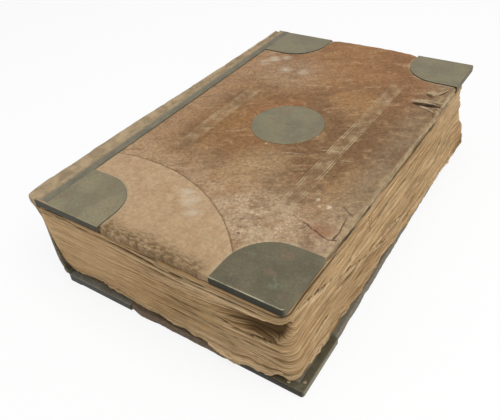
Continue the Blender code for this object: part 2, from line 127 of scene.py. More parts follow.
class BookColours(bpy.types.PropertyGroup):
    """Colours of the book's materials."""

    leather: colour_prop("Leather", "Brown leather of the covers", (0.302, 0.170, 0.073))
    leather_dark: colour_prop("Dark leather", "Darkened parts of the covers", (0.172, 0.092, 0.041))
    leather_tan: colour_prop("Rubbed leather", "Rubbed and scuffed parts of the covers",
                             (0.415, 0.279, 0.150))
    bare: colour_prop("Bare patch", "The pale patch at the tail of the front cover", (0.470, 0.325, 0.190))
    spine: colour_prop("Spine leather", "Grey green leather of the spine", (0.198, 0.181, 0.130))
    roll: colour_prop("Worn roll", "Worn edge of the front joint", (0.430, 0.320, 0.190))
    paper: colour_prop("Paper", "Light edges of the pages", (0.575, 0.385, 0.198))
    paper_light: colour_prop("Clean paper", "The lightest edges of the pages", (0.660, 0.480, 0.280))
    paper_dark: colour_prop("Stained paper", "Dark edges of the pages", (0.285, 0.165, 0.070))
    metal: colour_prop("Brass", "Dulled brass of the plates", (0.180, 0.155, 0.092))
    verdigris: colour_prop("Verdigris", "Green film at the plates' edges", (0.140, 0.175, 0.115))


def sizes():
    return bpy.context.scene.book_sizes


def colours():
    return bpy.context.scene.book_colours


# Numbers on points.


def smooth(low, high, value):
    """A smooth step from 0 at low to 1 at high."""
    t = np.clip((np.asarray(value, float) - low) / (high - low), 0, 1)
    return t * t * (3 - 2 * t)


def bump(value, centre, reach):
    """1 at the centre, falling smoothly to 0 at the reach."""
    return smooth(1, 0, np.abs(np.asarray(value, float) - centre) / reach)


def hashed(cells, seed):
    """A steady number from -1 to 1 for each whole-numbered cell."""
    c = cells.astype(np.uint64)
    h = (c[..., 0] * np.uint64(374761393) + c[..., 1] * np.uint64(668265263)
         + c[..., 2] * np.uint64(2246822519) + np.uint64(seed * 3266489917 % 4294967291))
    h &= np.uint64(0xFFFFFFFF)
    h = ((h ^ (h >> np.uint64(13))) * np.uint64(1274126177)) & np.uint64(0xFFFFFFFF)
    h = ((h ^ (h >> np.uint64(15))) * np.uint64(2654435761)) & np.uint64(0xFFFFFFFF)
    h ^= h >> np.uint64(16)
    return h.astype(float) / 0xFFFFFFFF * 2 - 1


def noise(points, size, seed):
    """Smooth noise from -1 to 1, with lumps of the given size along each axis."""
    p = np.asarray(points, float) / np.asarray(size, float) + 4096.0
    cell = np.floor(p)
    f = p - cell
    w = f * f * (3 - 2 * f)
    total = 0
    for corner in range(8):
        step = np.array([corner & 1, corner >> 1 & 1, corner >> 2 & 1])
        weight = np.prod(np.where(step, w, 1 - w), axis=-1)
        total = total + weight * hashed(cell + step, seed)
    return total


def rough(points, size, seed, octaves=3):
    """Noise with finer noise on it, each half the size and height of the last."""
    total, height = 0, 1.0
    for i in range(octaves):
        total = total + height * noise(points, np.asarray(size, float) / 2 ** i, seed + 31 * i)
        height *= 0.5
    return total


def at(a, b, c=0.0):
    """One array of points, or of steps, from two or three numbers or arrays."""
    return np.stack(np.broadcast_arrays(*(np.asarray(v, float) for v in (a, b, c))), -1)


# Meshes.


def grid_faces(rows, columns, closed=False, start=0):
    """Faces of a grid whose points run column by column within each row."""
    index = np.arange(rows * columns).reshape(rows, columns) + start
    right = np.roll(index, -1, axis=1) if closed else index[:, 1:]
    left = index if closed else index[:, :-1]
    return np.stack([left[:-1], right[:-1], right[1:], left[1:]], -1).reshape(-1, 4).tolist()


def new_piece(name, points, faces, material, fields=None, flat=False):
    """An object from points and faces, with a float or vector field on its points for each name given."""
    mesh = bpy.data.meshes.new(name)
    mesh.from_pydata(np.asarray(points, float).reshape(-1, 3).tolist(), [], faces)
    for field, values in (fields or {}).items():
        values = np.asarray(values, np.float32)
        if values.ndim > 1 and values.shape[-1] == 3 and values.size == 3 * len(mesh.vertices):
            mesh.attributes.new(field, "FLOAT_VECTOR", "POINT").data.foreach_set("vector", values.ravel())
        else:
            mesh.attributes.new(field, "FLOAT", "POINT").data.foreach_set("value", values.ravel())
    mesh.polygons.foreach_set("use_smooth", [not flat] * len(mesh.polygons))
    mesh.materials.append(material)
    mesh.update()
    made = bpy.data.objects.new(name, mesh)
    bpy.context.scene.collection.objects.link(made)
    return made


def settle(made, body=None, replaced=()):
    """Hides the nodes that the piece stands for and hangs it on the body that it rides on."""
    if replaced:
        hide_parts(*replaced)
    if body:
        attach(made, body)
    return made


# Materials.


def dimmed(colour, factor):
    """A colour made lighter or darker by a factor."""
    return tuple(factor * v for v in colour)


class Nodes:
    """Adds nodes to a tree. A value may be a socket or a number, and a colour a socket or three numbers."""

    def __init__(self, tree):
        self.tree = tree

    def put(self, kind, inputs, output=0, **settings):
        """Adds a node, sets or links its inputs, and gives the output that is asked for."""
        made = self.tree.nodes.new("ShaderNode" + kind)
        for key, value in settings.items():
            setattr(made, key, value)
        for key, value in inputs.items():
            if isinstance(value, bpy.types.NodeSocket):
                self.tree.links.new(value, made.inputs[key])
            else:
                made.inputs[key].default_value = value
        return made.outputs[output]

    def spot(self):
        """The place on the object, which stays put when the book opens."""
        return self.put("TexCoord", {}, "Object")

    def field(self, name, output="Fac"):
        """A field that the mesh carries on its points."""
        return self.put("Attribute", {}, output, attribute_name=name)

    def apart(self, vector):
        """The three parts of a vector, one by one."""
        x = self.put("SeparateXYZ", {"Vector": vector}, "X")
        return x, x.node.outputs["Y"], x.node.outputs["Z"]

    def grain(self, vector, scale, detail=4.0, stretch=None, roughness=0.55):
        """Noise from 0 to 1, most of it near the middle."""
        if stretch:
            vector = self.put("Mapping", {"Vector": vector, "Scale": stretch})
        return self.put("TexNoise",
                        {"Vector": vector, "Scale": scale, "Detail": detail, "Roughness": roughness})

    def ramp(self, value, low, high, to_low=0.0, to_high=1.0):
        """A smooth step between two marks of a value, from one height to another."""
        return self.put("MapRange", {"Value": value, "From Min": low, "From Max": high, "To Min": to_low,
                                     "To Max": to_high}, interpolation_type="SMOOTHSTEP")

    def maths(self, operation, a, b=0.0):
        return self.put("Math", {0: a, 1: b}, operation=operation)

    def times(self, *factors):
        product = factors[0]
        for factor in factors[1:]:
            product = self.maths("MULTIPLY", product, factor)
        return product

    def most(self, *values):
        greatest = values[0]
        for value in values[1:]:
            greatest = self.maths("MAXIMUM", greatest, value)
        return greatest

    def off(self, value, middle):
        """How far a value is from the middle, to either side."""
        return self.maths("ABSOLUTE", self.maths("SUBTRACT", value, middle))

    def vector(self, operation, a, b, output="Vector"):
        return self.put("VectorMath", {0: a, 1: b}, output, operation=operation)

    def scaled(self, vector, factor):
        """A colour or a vector times a number."""
        return self.put("VectorMath", {0: vector, "Scale": factor}, "Vector", operation="SCALE")

    def bent(self, vector, spot, scale, reach):
        """A vector moved about by noise at the spot, so that marks get uneven edges."""
        wave = self.put("TexNoise", {"Vector": spot, "Scale": scale, "Detail": 3.0}, "Color")
        return self.vector("ADD", vector, self.scaled(wave, reach))

    def mix(self, factor, a, b):
        """Mixes two colours."""
        a, b = (c if isinstance(c, bpy.types.NodeSocket) else (*c, 1.0) for c in (a, b))
        return self.put("Mix", {0: factor, 6: a, 7: b}, 2, data_type="RGBA", blend_type="MIX")

    def from_point(self, spot, x, y):
        """How far away a place of the front cover is, in metres."""
        return self.vector("DISTANCE", spot, (x, y, BOOK_TOP), "Value")

    def from_line(self, spot, a, b):
        """How far away a straight line is, in metres. Its ends lie on the front cover or have a height."""
        start, end = (Vector(mark) if len(mark) == 3 else Vector((*mark, BOOK_TOP)) for mark in (a, b))
        way = end - start
        arm = self.vector("SUBTRACT", spot, start)
        share = self.vector("DOT_PRODUCT", arm, way / way.length_squared, "Value")
        share = self.put("Clamp", {"Value": share})
        return self.vector("DISTANCE", arm, self.scaled(way, share), "Value")

    def nearest(self, distances):
        first = distances[0]
        for other in distances[1:]:
            first = self.maths("MINIMUM", first, other)
        return first

    def off_marks(self, spot, marks):
        """How far the nearest of some round marks is; less than 0 inside it."""
        return self.nearest([self.maths("SUBTRACT", self.from_point(spot, x, y), reach)
                             for x, y, reach in marks])

    def off_lines(self, spot, lines):
        """How far the nearest of some straight lines is."""
        return self.nearest([self.from_line(spot, a, b) for a, b in lines])

    def seen(self):
        """1 for what the camera sees, also mirrored or through glass, and 0 for what lights the book."""
        path = self.put("LightPath", {}, "Is Camera Ray").node
        return self.most(*(path.outputs[ray]
                           for ray in ("Is Camera Ray", "Is Glossy Ray", "Is Transmission Ray")))


class Paint(Nodes):
    """One material and its nodes. colour is what the coats laid so far give."""

    def __init__(self, name, roughness, metallic=0.0, gloss=0.2):
        self.material = bpy.data.materials.new(name)
        self.material.use_nodes = True
        super().__init__(self.material.node_tree)
        self.shader = self.tree.nodes["Principled BSDF"]
        for socket, value in (("Metallic", metallic), ("Roughness", roughness),
                              ("Specular IOR Level", gloss)):
            self.shader.inputs[socket].default_value = value
        self.colour = None

    def lay(self, colour, *factors):
        """Lays a colour over the surface, as strongly as the factors multiplied say."""
        self.colour = self.mix(self.times(*factors), self.colour, colour)

    def vary(self, value, low, high, darkest, lightest):
        """Makes the surface darker and lighter by noise."""
        self.colour = self.scaled(self.colour, self.ramp(value, low, high, darkest, lightest))

    def finish(self, height, strength, distance, roughness=None):
        """Gives the shader the colour, a small relief and perhaps a roughness that varies."""
        self.tree.links.new(self.colour, self.shader.inputs["Base Color"])
        if roughness is not None:
            self.tree.links.new(roughness, self.shader.inputs["Roughness"])
        normal = self.put("Bump", {"Height": height, "Strength": strength, "Distance": distance}, "Normal")
        self.tree.links.new(normal, self.shader.inputs["Normal"])
        return self.material


# Dark hairs on the tail of the pages, right of the middle of the near plate.
HAIRS = (((0.0, -0.0817, 0.0883), (0.0, -0.0790, 0.0690)), ((0.0, -0.0755, 0.0860), (0.0, -0.0785, 0.0675)))
PAPER_WARM = (0.590, 0.385, 0.205)
PAPER_WARM_DARK = (0.500, 0.310, 0.140)


def paper_material(name):
    """Edges of old paper: fine streaks along the leaves, with painted shade where they lie far in: in gaps,
    in the hollow and under the board.
    """
    c = colours()
    p = Paint(name, 0.9, gloss=0.1)
    spot = p.spot()
    edge = p.field("edge", "Vector")
    fine = p.grain(edge, 1.0, 3.0, (40.0, 1300.0, 1.0), 0.6)
    band = p.grain(edge, 1.0, 2.0, (8.0, 270.0, 1.0))
    stain = p.grain(spot, 16.0, 5.0)
    tone = p.field("tone")
    calm = p.field("calm")
    lively = p.maths("SUBTRACT", 1.0, p.times(calm, 0.50))
    p.colour = p.mix(p.ramp(stain, 0.46, 0.70, 0.0, 0.35), c.paper, c.paper_dark)
    p.lay(c.paper_dark, lively, p.ramp(band, 0.52, 0.36, 0.0, 0.74))
    p.lay(c.paper_light, lively, p.ramp(band, 0.54, 0.68, 0.0, 0.65))
    # darker and lighter by the layers' tone: their own random tone, with painted shade in the hollow and a
    # painted highlight on the lip under each crack
    p.lay(c.paper_dark, p.ramp(tone, 0.05, 1.0, 0.0, 0.72))
    p.lay(c.paper_light, p.ramp(tone, -0.05, -1.0, 0.0, 0.75))
    warm = p.mix(p.ramp(stain, 0.40, 0.66, 0.0, 0.6), PAPER_WARM, PAPER_WARM_DARK)
    p.lay(warm, calm, 0.48)
    p.lay(p.scaled(p.colour, p.ramp(fine, 0.30, 0.70, 0.60, 1.32)), lively)
    # painted shade in the opened gaps between leaves, in the hollow under the near plate and on the top
    # leaves under the board
    p.lay(dimmed(c.paper_dark, 0.30), p.ramp(p.field("deep"), 0.08, 0.8, 0.0, 0.92))
    side_spot = p.vector("MULTIPLY", spot, (0.0, 1.0, 1.0))
    p.lay(dimmed(c.paper_dark, 0.35), p.ramp(p.off_lines(side_spot, HAIRS), 0.0010, 0.0004, 0.0, 0.6))
    return p.finish(fine, 0.6, 0.0005, p.ramp(fine, 0.0, 1.0, 0.86, 0.98))


def leaf_material(name):
    """The faces of the first and the last leaf: toned old paper, browner towards the edges."""
    c = colours()
    p = Paint(name, 0.9, gloss=0.1)
    spot = p.spot()
    stain = p.grain(spot, 14.0, 6.0, roughness=0.62)
    fine = p.grain(spot, 420.0, 4.0)
    across, along, _ = p.apart(spot)
    rim = p.most(p.ramp(p.off(across, 0.006), 0.095, 0.142),
                 p.ramp(p.maths("ABSOLUTE", along), 0.170, 0.226))
    p.colour = p.mix(p.ramp(stain, 0.42, 0.70, 0.0, 0.45), dimmed(c.paper, 1.08), c.paper_dark)
    p.lay(c.paper_dark, rim, p.ramp(stain, 0.3, 0.7, 0.35, 1.0), 0.6)
    p.vary(fine, 0.3, 0.7, 0.95, 1.05)
    return p.finish(fine, 0.25, 0.0003)


# The front cover's marks: places on it from the middle of the book, to the fore edge and to the head.
# The tooled bands: left and right side, start and end.
TOOLED = ((0.0700, 0.0850, -0.178, 0.140), (-0.0790, -0.0640, -0.080, 0.060))
TOOLED_LINE_GAP = 0.0024
LOZENGE_LENGTH = 0.017
LOZENGE_HALF_WIDTH = 0.0032
CRACKS = (((0.102, -0.131), (0.118, -0.137)), ((0.118, -0.137), (0.129, -0.142)),
          ((0.129, -0.142), (0.137, -0.139)), ((0.123, -0.096), (0.129, -0.101)),
          ((0.129, -0.101), (0.135, -0.104)), ((0.134, 0.100), (0.138, 0.084)),
          ((0.1341, -0.141), (0.1345, -0.1245)), ((0.1345, -0.1245), (0.1314, -0.1093)))
SCRATCHES = (((0.014, -0.081), (0.032, -0.076)), ((0.062, -0.026), (0.083, -0.019)),
             ((0.088, -0.033), (0.100, -0.030)), ((-0.020, 0.092), (0.010, 0.103)),
             ((0.046, 0.118), (0.062, 0.126)), ((0.030, -0.047), (0.052, -0.040)))
# Round marks with their radius.
SPECKS = ((0.098, -0.098, 0.0022), (0.112, -0.103, 0.0025), (0.081, 0.097, 0.0017), (0.104, -0.106, 0.0016),
          (-0.064, 0.117, 0.0018), (-0.0385, 0.0300, 0.0016), (0.007, -0.0405, 0.0014))
PALE_STAINS = ((-0.003, -0.154, 0.011), (0.008, -0.167, 0.008), (-0.014, -0.146, 0.009),
               (-0.094, 0.141, 0.010), (-0.100, 0.126, 0.009), (-0.064, 0.117, 0.009),
               (-0.041, 0.121, 0.008), (-0.082, 0.150, 0.008))
RED_SPOT = (0.121, -0.133)
SMALL_HOLE = (0.061, -0.170)
# Broad patches of other leather colours: place, where they begin and are full, strength and colour.
LEATHER_PATCHES = ((-0.055, 0.115, 0.065, 0.020, 0.40, (0.425, 0.305, 0.195)),
                   (-0.055, -0.025, 0.060, 0.020, 0.60, (0.235, 0.118, 0.042)),
                   (-0.015, -0.045, 0.045, 0.015, 0.30, (0.250, 0.135, 0.055)),
                   (0.022, -0.072, 0.040, 0.012, 0.40, (0.460, 0.315, 0.170)))
# The crackled, paler leather by the near plate: its middle, and how much shorter it is along the cover.
CRACKLE_CENTRE = (0.060, -0.150)
CRACKLE_SQUEEZE = 1.35

LEATHER_RED = (0.300, 0.130, 0.052)
LEATHER_GREY = (0.220, 0.172, 0.110)
LEATHER_BY_SPINE = (0.365, 0.225, 0.125)
LEATHER_PALE = (0.490, 0.355, 0.228)
CRACKLE_LINE = (0.17, 0.098, 0.046)
TOOLED_GOLD = (0.430, 0.335, 0.200)
RED_SPOT_COLOUR = (0.265, 0.118, 0.060)
PATCH_BROWN = (0.405, 0.258, 0.146)
PATCH_TAIL = (0.400, 0.275, 0.150)
PATCH_RIM_SHADOW = (0.13, 0.075, 0.035)
STAIN_PALE = (0.560, 0.470, 0.350)
SPECK_COLOUR = (0.64, 0.53, 0.39)
SCRATCH_COLOUR = (0.56, 0.44, 0.30)
CRACK_COLOUR = (0.055, 0.032, 0.018)
RUBBED = (0.470, 0.350, 0.205)
RUBBED_DARK = (0.34, 0.245, 0.135)
RUBBED_STRAND = (0.200, 0.130, 0.066)
CRUMPLED = (0.325, 0.215, 0.110)
CRUMPLED_FOOT = (0.190, 0.120, 0.056)
CRUMPLED_DARK = (0.135, 0.082, 0.036)
CRUMPLED_LIGHT = (0.450, 0.325, 0.185)
BESIDE_METAL = (0.480, 0.375, 0.240)
PAINTED_SHADE_BROWN = (0.035, 0.020, 0.011)


def tooled_bands(p, across, along, wobble):
    """Where the two tooled bands of thin lines and small lozenges lie: 1 on a line."""
    found = []
    for left, right, start, end in TOOLED:
        middle, half = (left + right) / 2, (right - left) / 2
        side = p.maths("ABSOLUTE", p.maths("ADD", p.maths("SUBTRACT", across, middle), wobble))
        lines_at = p.nearest([p.off(side, half), p.off(side, half - TOOLED_LINE_GAP)])
        swing = p.maths("ABSOLUTE", p.maths("SINE", p.times(along, 2 * math.pi / LOZENGE_LENGTH)))
        lozenge = p.off(side, p.times(swing, LOZENGE_HALF_WIDTH))
        on = p.most(p.ramp(lines_at, 0.0009, 0.0003), p.ramp(lozenge, 0.0008, 0.0003, 0.0, 0.55),
                    p.ramp(side, half, half - 0.0035, 0.0, 0.26))
        found.append(p.times(on, p.ramp(along, start - 0.018, start + 0.030),
                             p.ramp(along, end + 0.018, end - 0.030)))
    return p.most(*found)


def leather_material(name):
    """Worn brown leather of the front cover, with its pale patch, tooled bands, stains and scuffs."""
    c = colours()
    p = Paint(name, 0.7)
    spot = p.spot()
    broad = p.grain(spot, 15.0, 5.0)
    blotch = p.grain(spot, 70.0, 6.0, roughness=0.68)
    fine = p.grain(spot, 330.0, 4.0, roughness=0.75)
    turned = p.put("Mapping", {"Vector": spot, "Rotation": (0, 0, math.radians(-33))})
    streak = p.grain(turned, 130.0, 5.0, (0.25, 1.0, 1.0), 0.72)
    across, along, _ = p.apart(spot)
    # the place on the cover's face, with noise that is taken back to the middle
    bent = p.bent(p.bent(spot, spot, 130.0, 0.0035), spot, 420.0, 0.0026)
    bent = p.vector("SUBTRACT", bent, (0.00305, 0.00305, 0.0))
    bent = p.vector("MULTIPLY", bent, (1.0, 1.0, 0.0))
    bent = p.vector("ADD", bent, (0.0, 0.0, BOOK_TOP))
    p.colour = p.mix(p.ramp(broad, 0.38, 0.62), c.leather_dark, c.leather)
    # redder to the head and round the disc, greyer along the fore edge
    by_disc = p.times(p.ramp(p.from_point(spot, *DISC_CENTRE), 0.085, 0.042, 0.0, 0.75),
                      p.ramp(across, 0.030, -0.020))
    red = p.most(p.ramp(along, 0.02, 0.16, 0.0, 0.5), by_disc)
    p.lay(LEATHER_RED, red, p.ramp(blotch, 0.3, 0.6, 0.4, 1.0))
    p.lay(LEATHER_GREY, p.ramp(across, 0.092, 0.130), p.ramp(broad, 0.3, 0.6, 0.35, 1.0), 0.62)
    for x, y, begins, full, strength, colour in LEATHER_PATCHES:
        p.lay(colour, p.ramp(p.from_point(bent, x, y), begins, full, 0.0, strength))
    # paler to the spine, to the tail and by the near plate
    p.lay(LEATHER_BY_SPINE, p.ramp(across, -0.075, -0.112, 0.0, 0.72))
    squeezed = p.vector("MULTIPLY", bent, (1.0, CRACKLE_SQUEEZE, 1.0))
    crackle = p.from_point(squeezed, CRACKLE_CENTRE[0], CRACKLE_CENTRE[1] * CRACKLE_SQUEEZE)
    crackle = p.ramp(crackle, 0.082, 0.030)
    pale_here = p.most(crackle, p.ramp(along, -0.060, -0.145, 0.0, 0.6))
    p.lay(LEATHER_PALE, pale_here, p.ramp(blotch, 0.34, 0.56, 0.25, 1.0))
    # scuffs and rubbed places
    p.lay(c.leather_tan, p.ramp(streak, 0.53, 0.70, 0.0, 0.6))
    p.lay(c.leather_tan, p.ramp(blotch, 0.52, 0.70, 0.0, 0.6))
    p.lay(c.leather_dark, p.ramp(streak, 0.46, 0.33, 0.0, 0.55))
    swirled = p.bent(bent, spot, 55.0, 0.012)
    cells = p.put("TexVoronoi", {"Vector": swirled, "Scale": 190.0}, "Distance", feature="DISTANCE_TO_EDGE")
    p.lay(CRACKLE_LINE, p.ramp(cells, 0.16, 0.03), p.ramp(crackle, 0.2, 0.8),
          p.ramp(blotch, 0.36, 0.54, 0.25, 1.0), 0.36)
    p.vary(fine, 0.30, 0.70, 0.70, 1.30)
    wobble = p.ramp(p.grain(spot, 12.0, 2.0), 0.0, 1.0, -0.0015, 0.0015)
    p.lay(TOOLED_GOLD, tooled_bands(p, across, along, wobble), p.ramp(blotch, 0.42, 0.57, 0.18, 0.90))
    red_spot = p.ramp(p.from_point(bent, *RED_SPOT), 0.0150, 0.0035)
    p.lay(RED_SPOT_COLOUR, red_spot, p.ramp(blotch, 0.34, 0.60, 0.30, 0.85))
    # the pale patch inside its arc, and a painted shadow along the arc's outer side
    brown = p.colour
    rim = p.maths("ADD", p.from_point(spot, *PALE_CENTRE), p.ramp(blotch, 0.0, 1.0, -0.0010, 0.0010))
    p.colour = p.mix(p.ramp(blotch, 0.40, 0.62, 0.0, 0.75), c.bare, PATCH_BROWN)
    p.lay(PATCH_TAIL, p.ramp(along, -0.150, -0.215, 0.0, 0.45))
    p.vary(fine, 0.30, 0.70, 0.84, 1.16)
    p.colour = p.mix(p.ramp(rim, PALE_RADIUS + 0.0005, PALE_RADIUS - 0.0005), brown, p.colour)
    p.lay(PATCH_RIM_SHADOW, p.ramp(p.off(rim, PALE_RADIUS + 0.0006), 0.0013, 0.0003), 0.6)
    # pale stains, light specks, scratches and cracks
    stains = p.ramp(p.off_marks(bent, PALE_STAINS), 0.003, -0.008)
    p.lay(STAIN_PALE, stains, p.ramp(streak, 0.35, 0.6, 0.25, 0.85))
    specks = p.ramp(p.off_marks(bent, SPECKS), 0.0003, -0.0008)
    p.lay(SPECK_COLOUR, specks, p.ramp(fine, 0.42, 0.58, 0.15, 0.85))
    p.lay(SCRATCH_COLOUR, p.ramp(p.off_lines(bent, SCRATCHES), 0.0010, 0.0002), 0.5)
    hole = p.ramp(p.from_point(spot, *SMALL_HOLE), 0.0019, 0.0010)
    cracks = p.most(p.ramp(p.off_lines(bent, CRACKS), 0.0008, 0.0001), hole)
    # wear and the crumpled margin at the tail, from the mesh
    crumple = p.field("crumple")
    worn = p.maths("ADD", p.field("worn"), p.ramp(blotch, 0.2, 0.8, -0.15, 0.15))
    worn = p.maths("SUBTRACT", worn, p.times(crumple, 0.45))
    rubbed = p.mix(p.ramp(p.grain(spot, 120.0, 4.0), 0.4, 0.6), RUBBED_DARK, RUBBED)
    strands = p.grain(spot, 330.0, 3.0, (1.0, 0.07, 1.0), 0.6)
    rubbed = p.mix(p.ramp(strands, 0.47, 0.38, 0.0, 0.8), rubbed, RUBBED_STRAND)
    p.lay(rubbed, p.ramp(worn, 0.30, 0.90))
    p.lay(CRACK_COLOUR, cracks, p.ramp(blotch, 0.36, 0.56, 0.20, 0.90))
    dashes = p.grain(bent, 480.0, 3.0, (0.38, 1.0, 1.0), 0.6)
    p.lay(CRUMPLED, crumple, 0.52)
    p.lay(CRUMPLED_FOOT, crumple, p.ramp(along, -0.203, -0.217, 0.0, 0.55))
    p.lay(CRUMPLED_DARK, crumple, p.ramp(dashes, 0.50, 0.58, 0.0, 0.75))
    p.lay(CRUMPLED_LIGHT, crumple, p.ramp(dashes, 0.45, 0.37, 0.0, 0.70))
    p.lay(BESIDE_METAL, p.field("beside"), p.ramp(blotch, 0.36, 0.56, 0.15, 0.80))
    # painted shade from the mesh: in the crumples' troughs, the torn gaps, a line along the fore edge, under
    # the fore edge and along the inner face's edges
    p.lay(PAINTED_SHADE_BROWN, p.ramp(p.field("deep"), 0.1, 0.7, 0.0, 0.96))
    lay_lining(p)
    height = p.maths("ADD", fine, p.times(blotch, 1.5))
    height = p.maths("SUBTRACT", height, p.times(cracks, 1.5))
    height = p.maths("ADD", height, p.times(crumple, dashes, -2.5))
    return p.finish(height, 0.6, 0.0008, p.ramp(blotch, 0.2, 0.8, 0.6, 0.85))


BACK_RIM = (0.150, 0.112, 0.076)
BACK_RIM_GREY = (0.200, 0.180, 0.135)
BACK_BLOTCH = (0.130, 0.062, 0.035)
BACK_PAINTED_SHADE = (0.042, 0.038, 0.027)


def plain_leather_material(name):
    """Leather of the back cover: darker and less rubbed."""
    c = colours()
    p = Paint(name, 0.7)
    spot = p.spot()
    broad = p.grain(spot, 18.0, 5.0)
    blotch = p.grain(spot, 75.0, 5.0, roughness=0.65)
    fine = p.grain(spot, 420.0, 4.0, roughness=0.7)
    p.colour = p.mix(p.ramp(broad, 0.35, 0.65), c.leather_dark, c.leather)
    p.lay(c.leather_tan, p.ramp(blotch, 0.5, 0.8, 0.0, 0.6))
    rim = p.mix(p.ramp(p.apart(spot)[0], 0.135, 0.142), BACK_RIM, BACK_RIM_GREY)
    p.lay(rim, p.ramp(p.field("worn"), 0.3, 0.9))
    p.lay(BACK_BLOTCH, p.ramp(blotch, 0.52, 0.66, 0.0, 0.35))
    # painted shade along the inner face's edges, where the board meets the pages
    p.lay(BACK_PAINTED_SHADE, p.ramp(p.field("deep"), 0.1, 0.7, 0.0, 0.95))
    p.vary(fine, 0.3, 0.7, 0.8, 1.2)
    lay_lining(p)
    return p.finish(p.maths("ADD", fine, blotch), 0.5, 0.0006, p.ramp(blotch, 0.2, 0.8, 0.6, 0.85))


def lay_lining(p):
    """Lays the paper pasted on a cover's inner face, inside the turned-in leather."""
    c = colours()
    stain = p.grain(p.spot(), 30.0, 7.0, roughness=0.7)
    paper = p.mix(p.ramp(stain, 0.40, 0.76, 0.0, 0.5), dimmed(c.paper, 0.95), c.paper_dark)
    p.lay(paper, p.ramp(p.field("lined"), 0.3, 0.7))


def spine_material(name):
    """Grey green leather of the spine, worn to tan on the roll."""
    c = colours()
    p = Paint(name, 0.75)
    spot = p.field("rest", "Vector")
    blotch = p.grain(spot, 60.0, 5.0, roughness=0.65)
    fine = p.grain(spot, 450.0, 4.0, roughness=0.7)
    tan = p.mix(p.ramp(blotch, 0.35, 0.65), c.roll, dimmed(c.roll, 0.62))
    p.colour = p.mix(p.ramp(blotch, 0.35, 0.7), dimmed(c.spine, 0.70), c.spine)
    p.lay(tan, p.ramp(p.maths("ADD", p.field("worn"), p.ramp(fine, 0.0, 1.0, -0.25, 0.25)), 0.3, 0.7))
    return p.finish(p.maths("ADD", fine, blotch), 0.5, 0.0006, p.ramp(blotch, 0.2, 0.8, 0.62, 0.88))


METAL_COOL = (0.176, 0.174, 0.146)
METAL_BROWNED = (0.185, 0.125, 0.070)
METAL_RUBBED_HIGHLIGHT = (0.40, 0.37, 0.25)


def metal_material(name, light=1.0, fore=0.72, edge=0.35, cool=False, browned=0.45):
    """Dulled brass: grey green with a soft mottle, painted shade on the walls to the tail, rubbed metal and
    a painted highlight on the fold.

    light is how light the whole is, fore how light the walls to the fore edge are against it, as painted
    light or shade, edge how strongly the fold is rubbed and given a painted highlight, and browned how
    strong the brown spots are.
    """
    c = colours()
    p = Paint(name, 0.5, 0.30, 0.35)
    spot = p.spot()
    side, end, up = p.apart(spot.node.outputs["Normal"])
    blotch = p.grain(spot, 45.0, 5.0, roughness=0.6)
    fine = p.grain(spot, 420.0, 4.0, roughness=0.7)
    base = dimmed(METAL_COOL if cool else c.metal, light)
    p.colour = p.mix(p.ramp(blotch, 0.35, 0.65), dimmed(base, 0.84), dimmed(base, 1.16))
    p.lay(c.verdigris, p.ramp(p.grain(spot, 90.0, 5.0), 0.56, 0.72, 0.0, 0.55))
    elsewhere = p.put("Mapping", {"Vector": spot, "Location": (3, 1, 2)})
    p.lay(METAL_BROWNED, p.ramp(p.grain(elsewhere, 60.0, 5.0), 0.55, 0.70, 0.0, browned))
    p.vary(fine, 0.3, 0.7, 0.86, 1.14)
    # painted shade on the walls to the tail, painted light or shade on the walls to the fore edge, and
    # rubbed metal with a painted highlight on the fold above the tail's wall
    p.lay(p.scaled(p.colour, 0.22), p.ramp(end, -0.45, -0.9), p.ramp(p.maths("ABSOLUTE", up), 0.7, 0.3))
    p.lay(p.scaled(p.colour, fore), p.ramp(side, 0.45, 0.9))
    fold = p.times(p.ramp(end, -0.08, -0.35), p.ramp(up, 0.55, 0.8))
    p.lay(METAL_RUBBED_HIGHLIGHT, fold, p.ramp(blotch, 0.35, 0.6, 0.3 * edge, edge))
    return p.finish(fine, 0.3, 0.0003, p.ramp(blotch, 0.2, 0.8, 0.46, 0.66))


def floor_material():
    """White for the camera, and a plain pale floor that takes the book's shadow otherwise."""
    p = Paint("floor_white", 0.9)
    p.shader.inputs["Base Color"].default_value = (0.92, 0.92, 0.92, 1.0)
    glow = p.put("Emission", {"Color": (1, 1, 1, 1), "Strength": 1.0})
    mixed = p.put("MixShader", {0: p.times(p.seen(), 0.86), 1: p.shader.outputs[0], 2: glow})
    p.tree.links.new(mixed, p.tree.nodes["Material Output"].inputs["Surface"])
    return p.material


# Pages.

# How many steps the outline of the pages takes along each side and round a corner.
TAIL_STEPS, FORE_STEPS, HEAD_STEPS, BACK_STEPS, CORNER_STEPS = 114, 150, 64, 16, 15


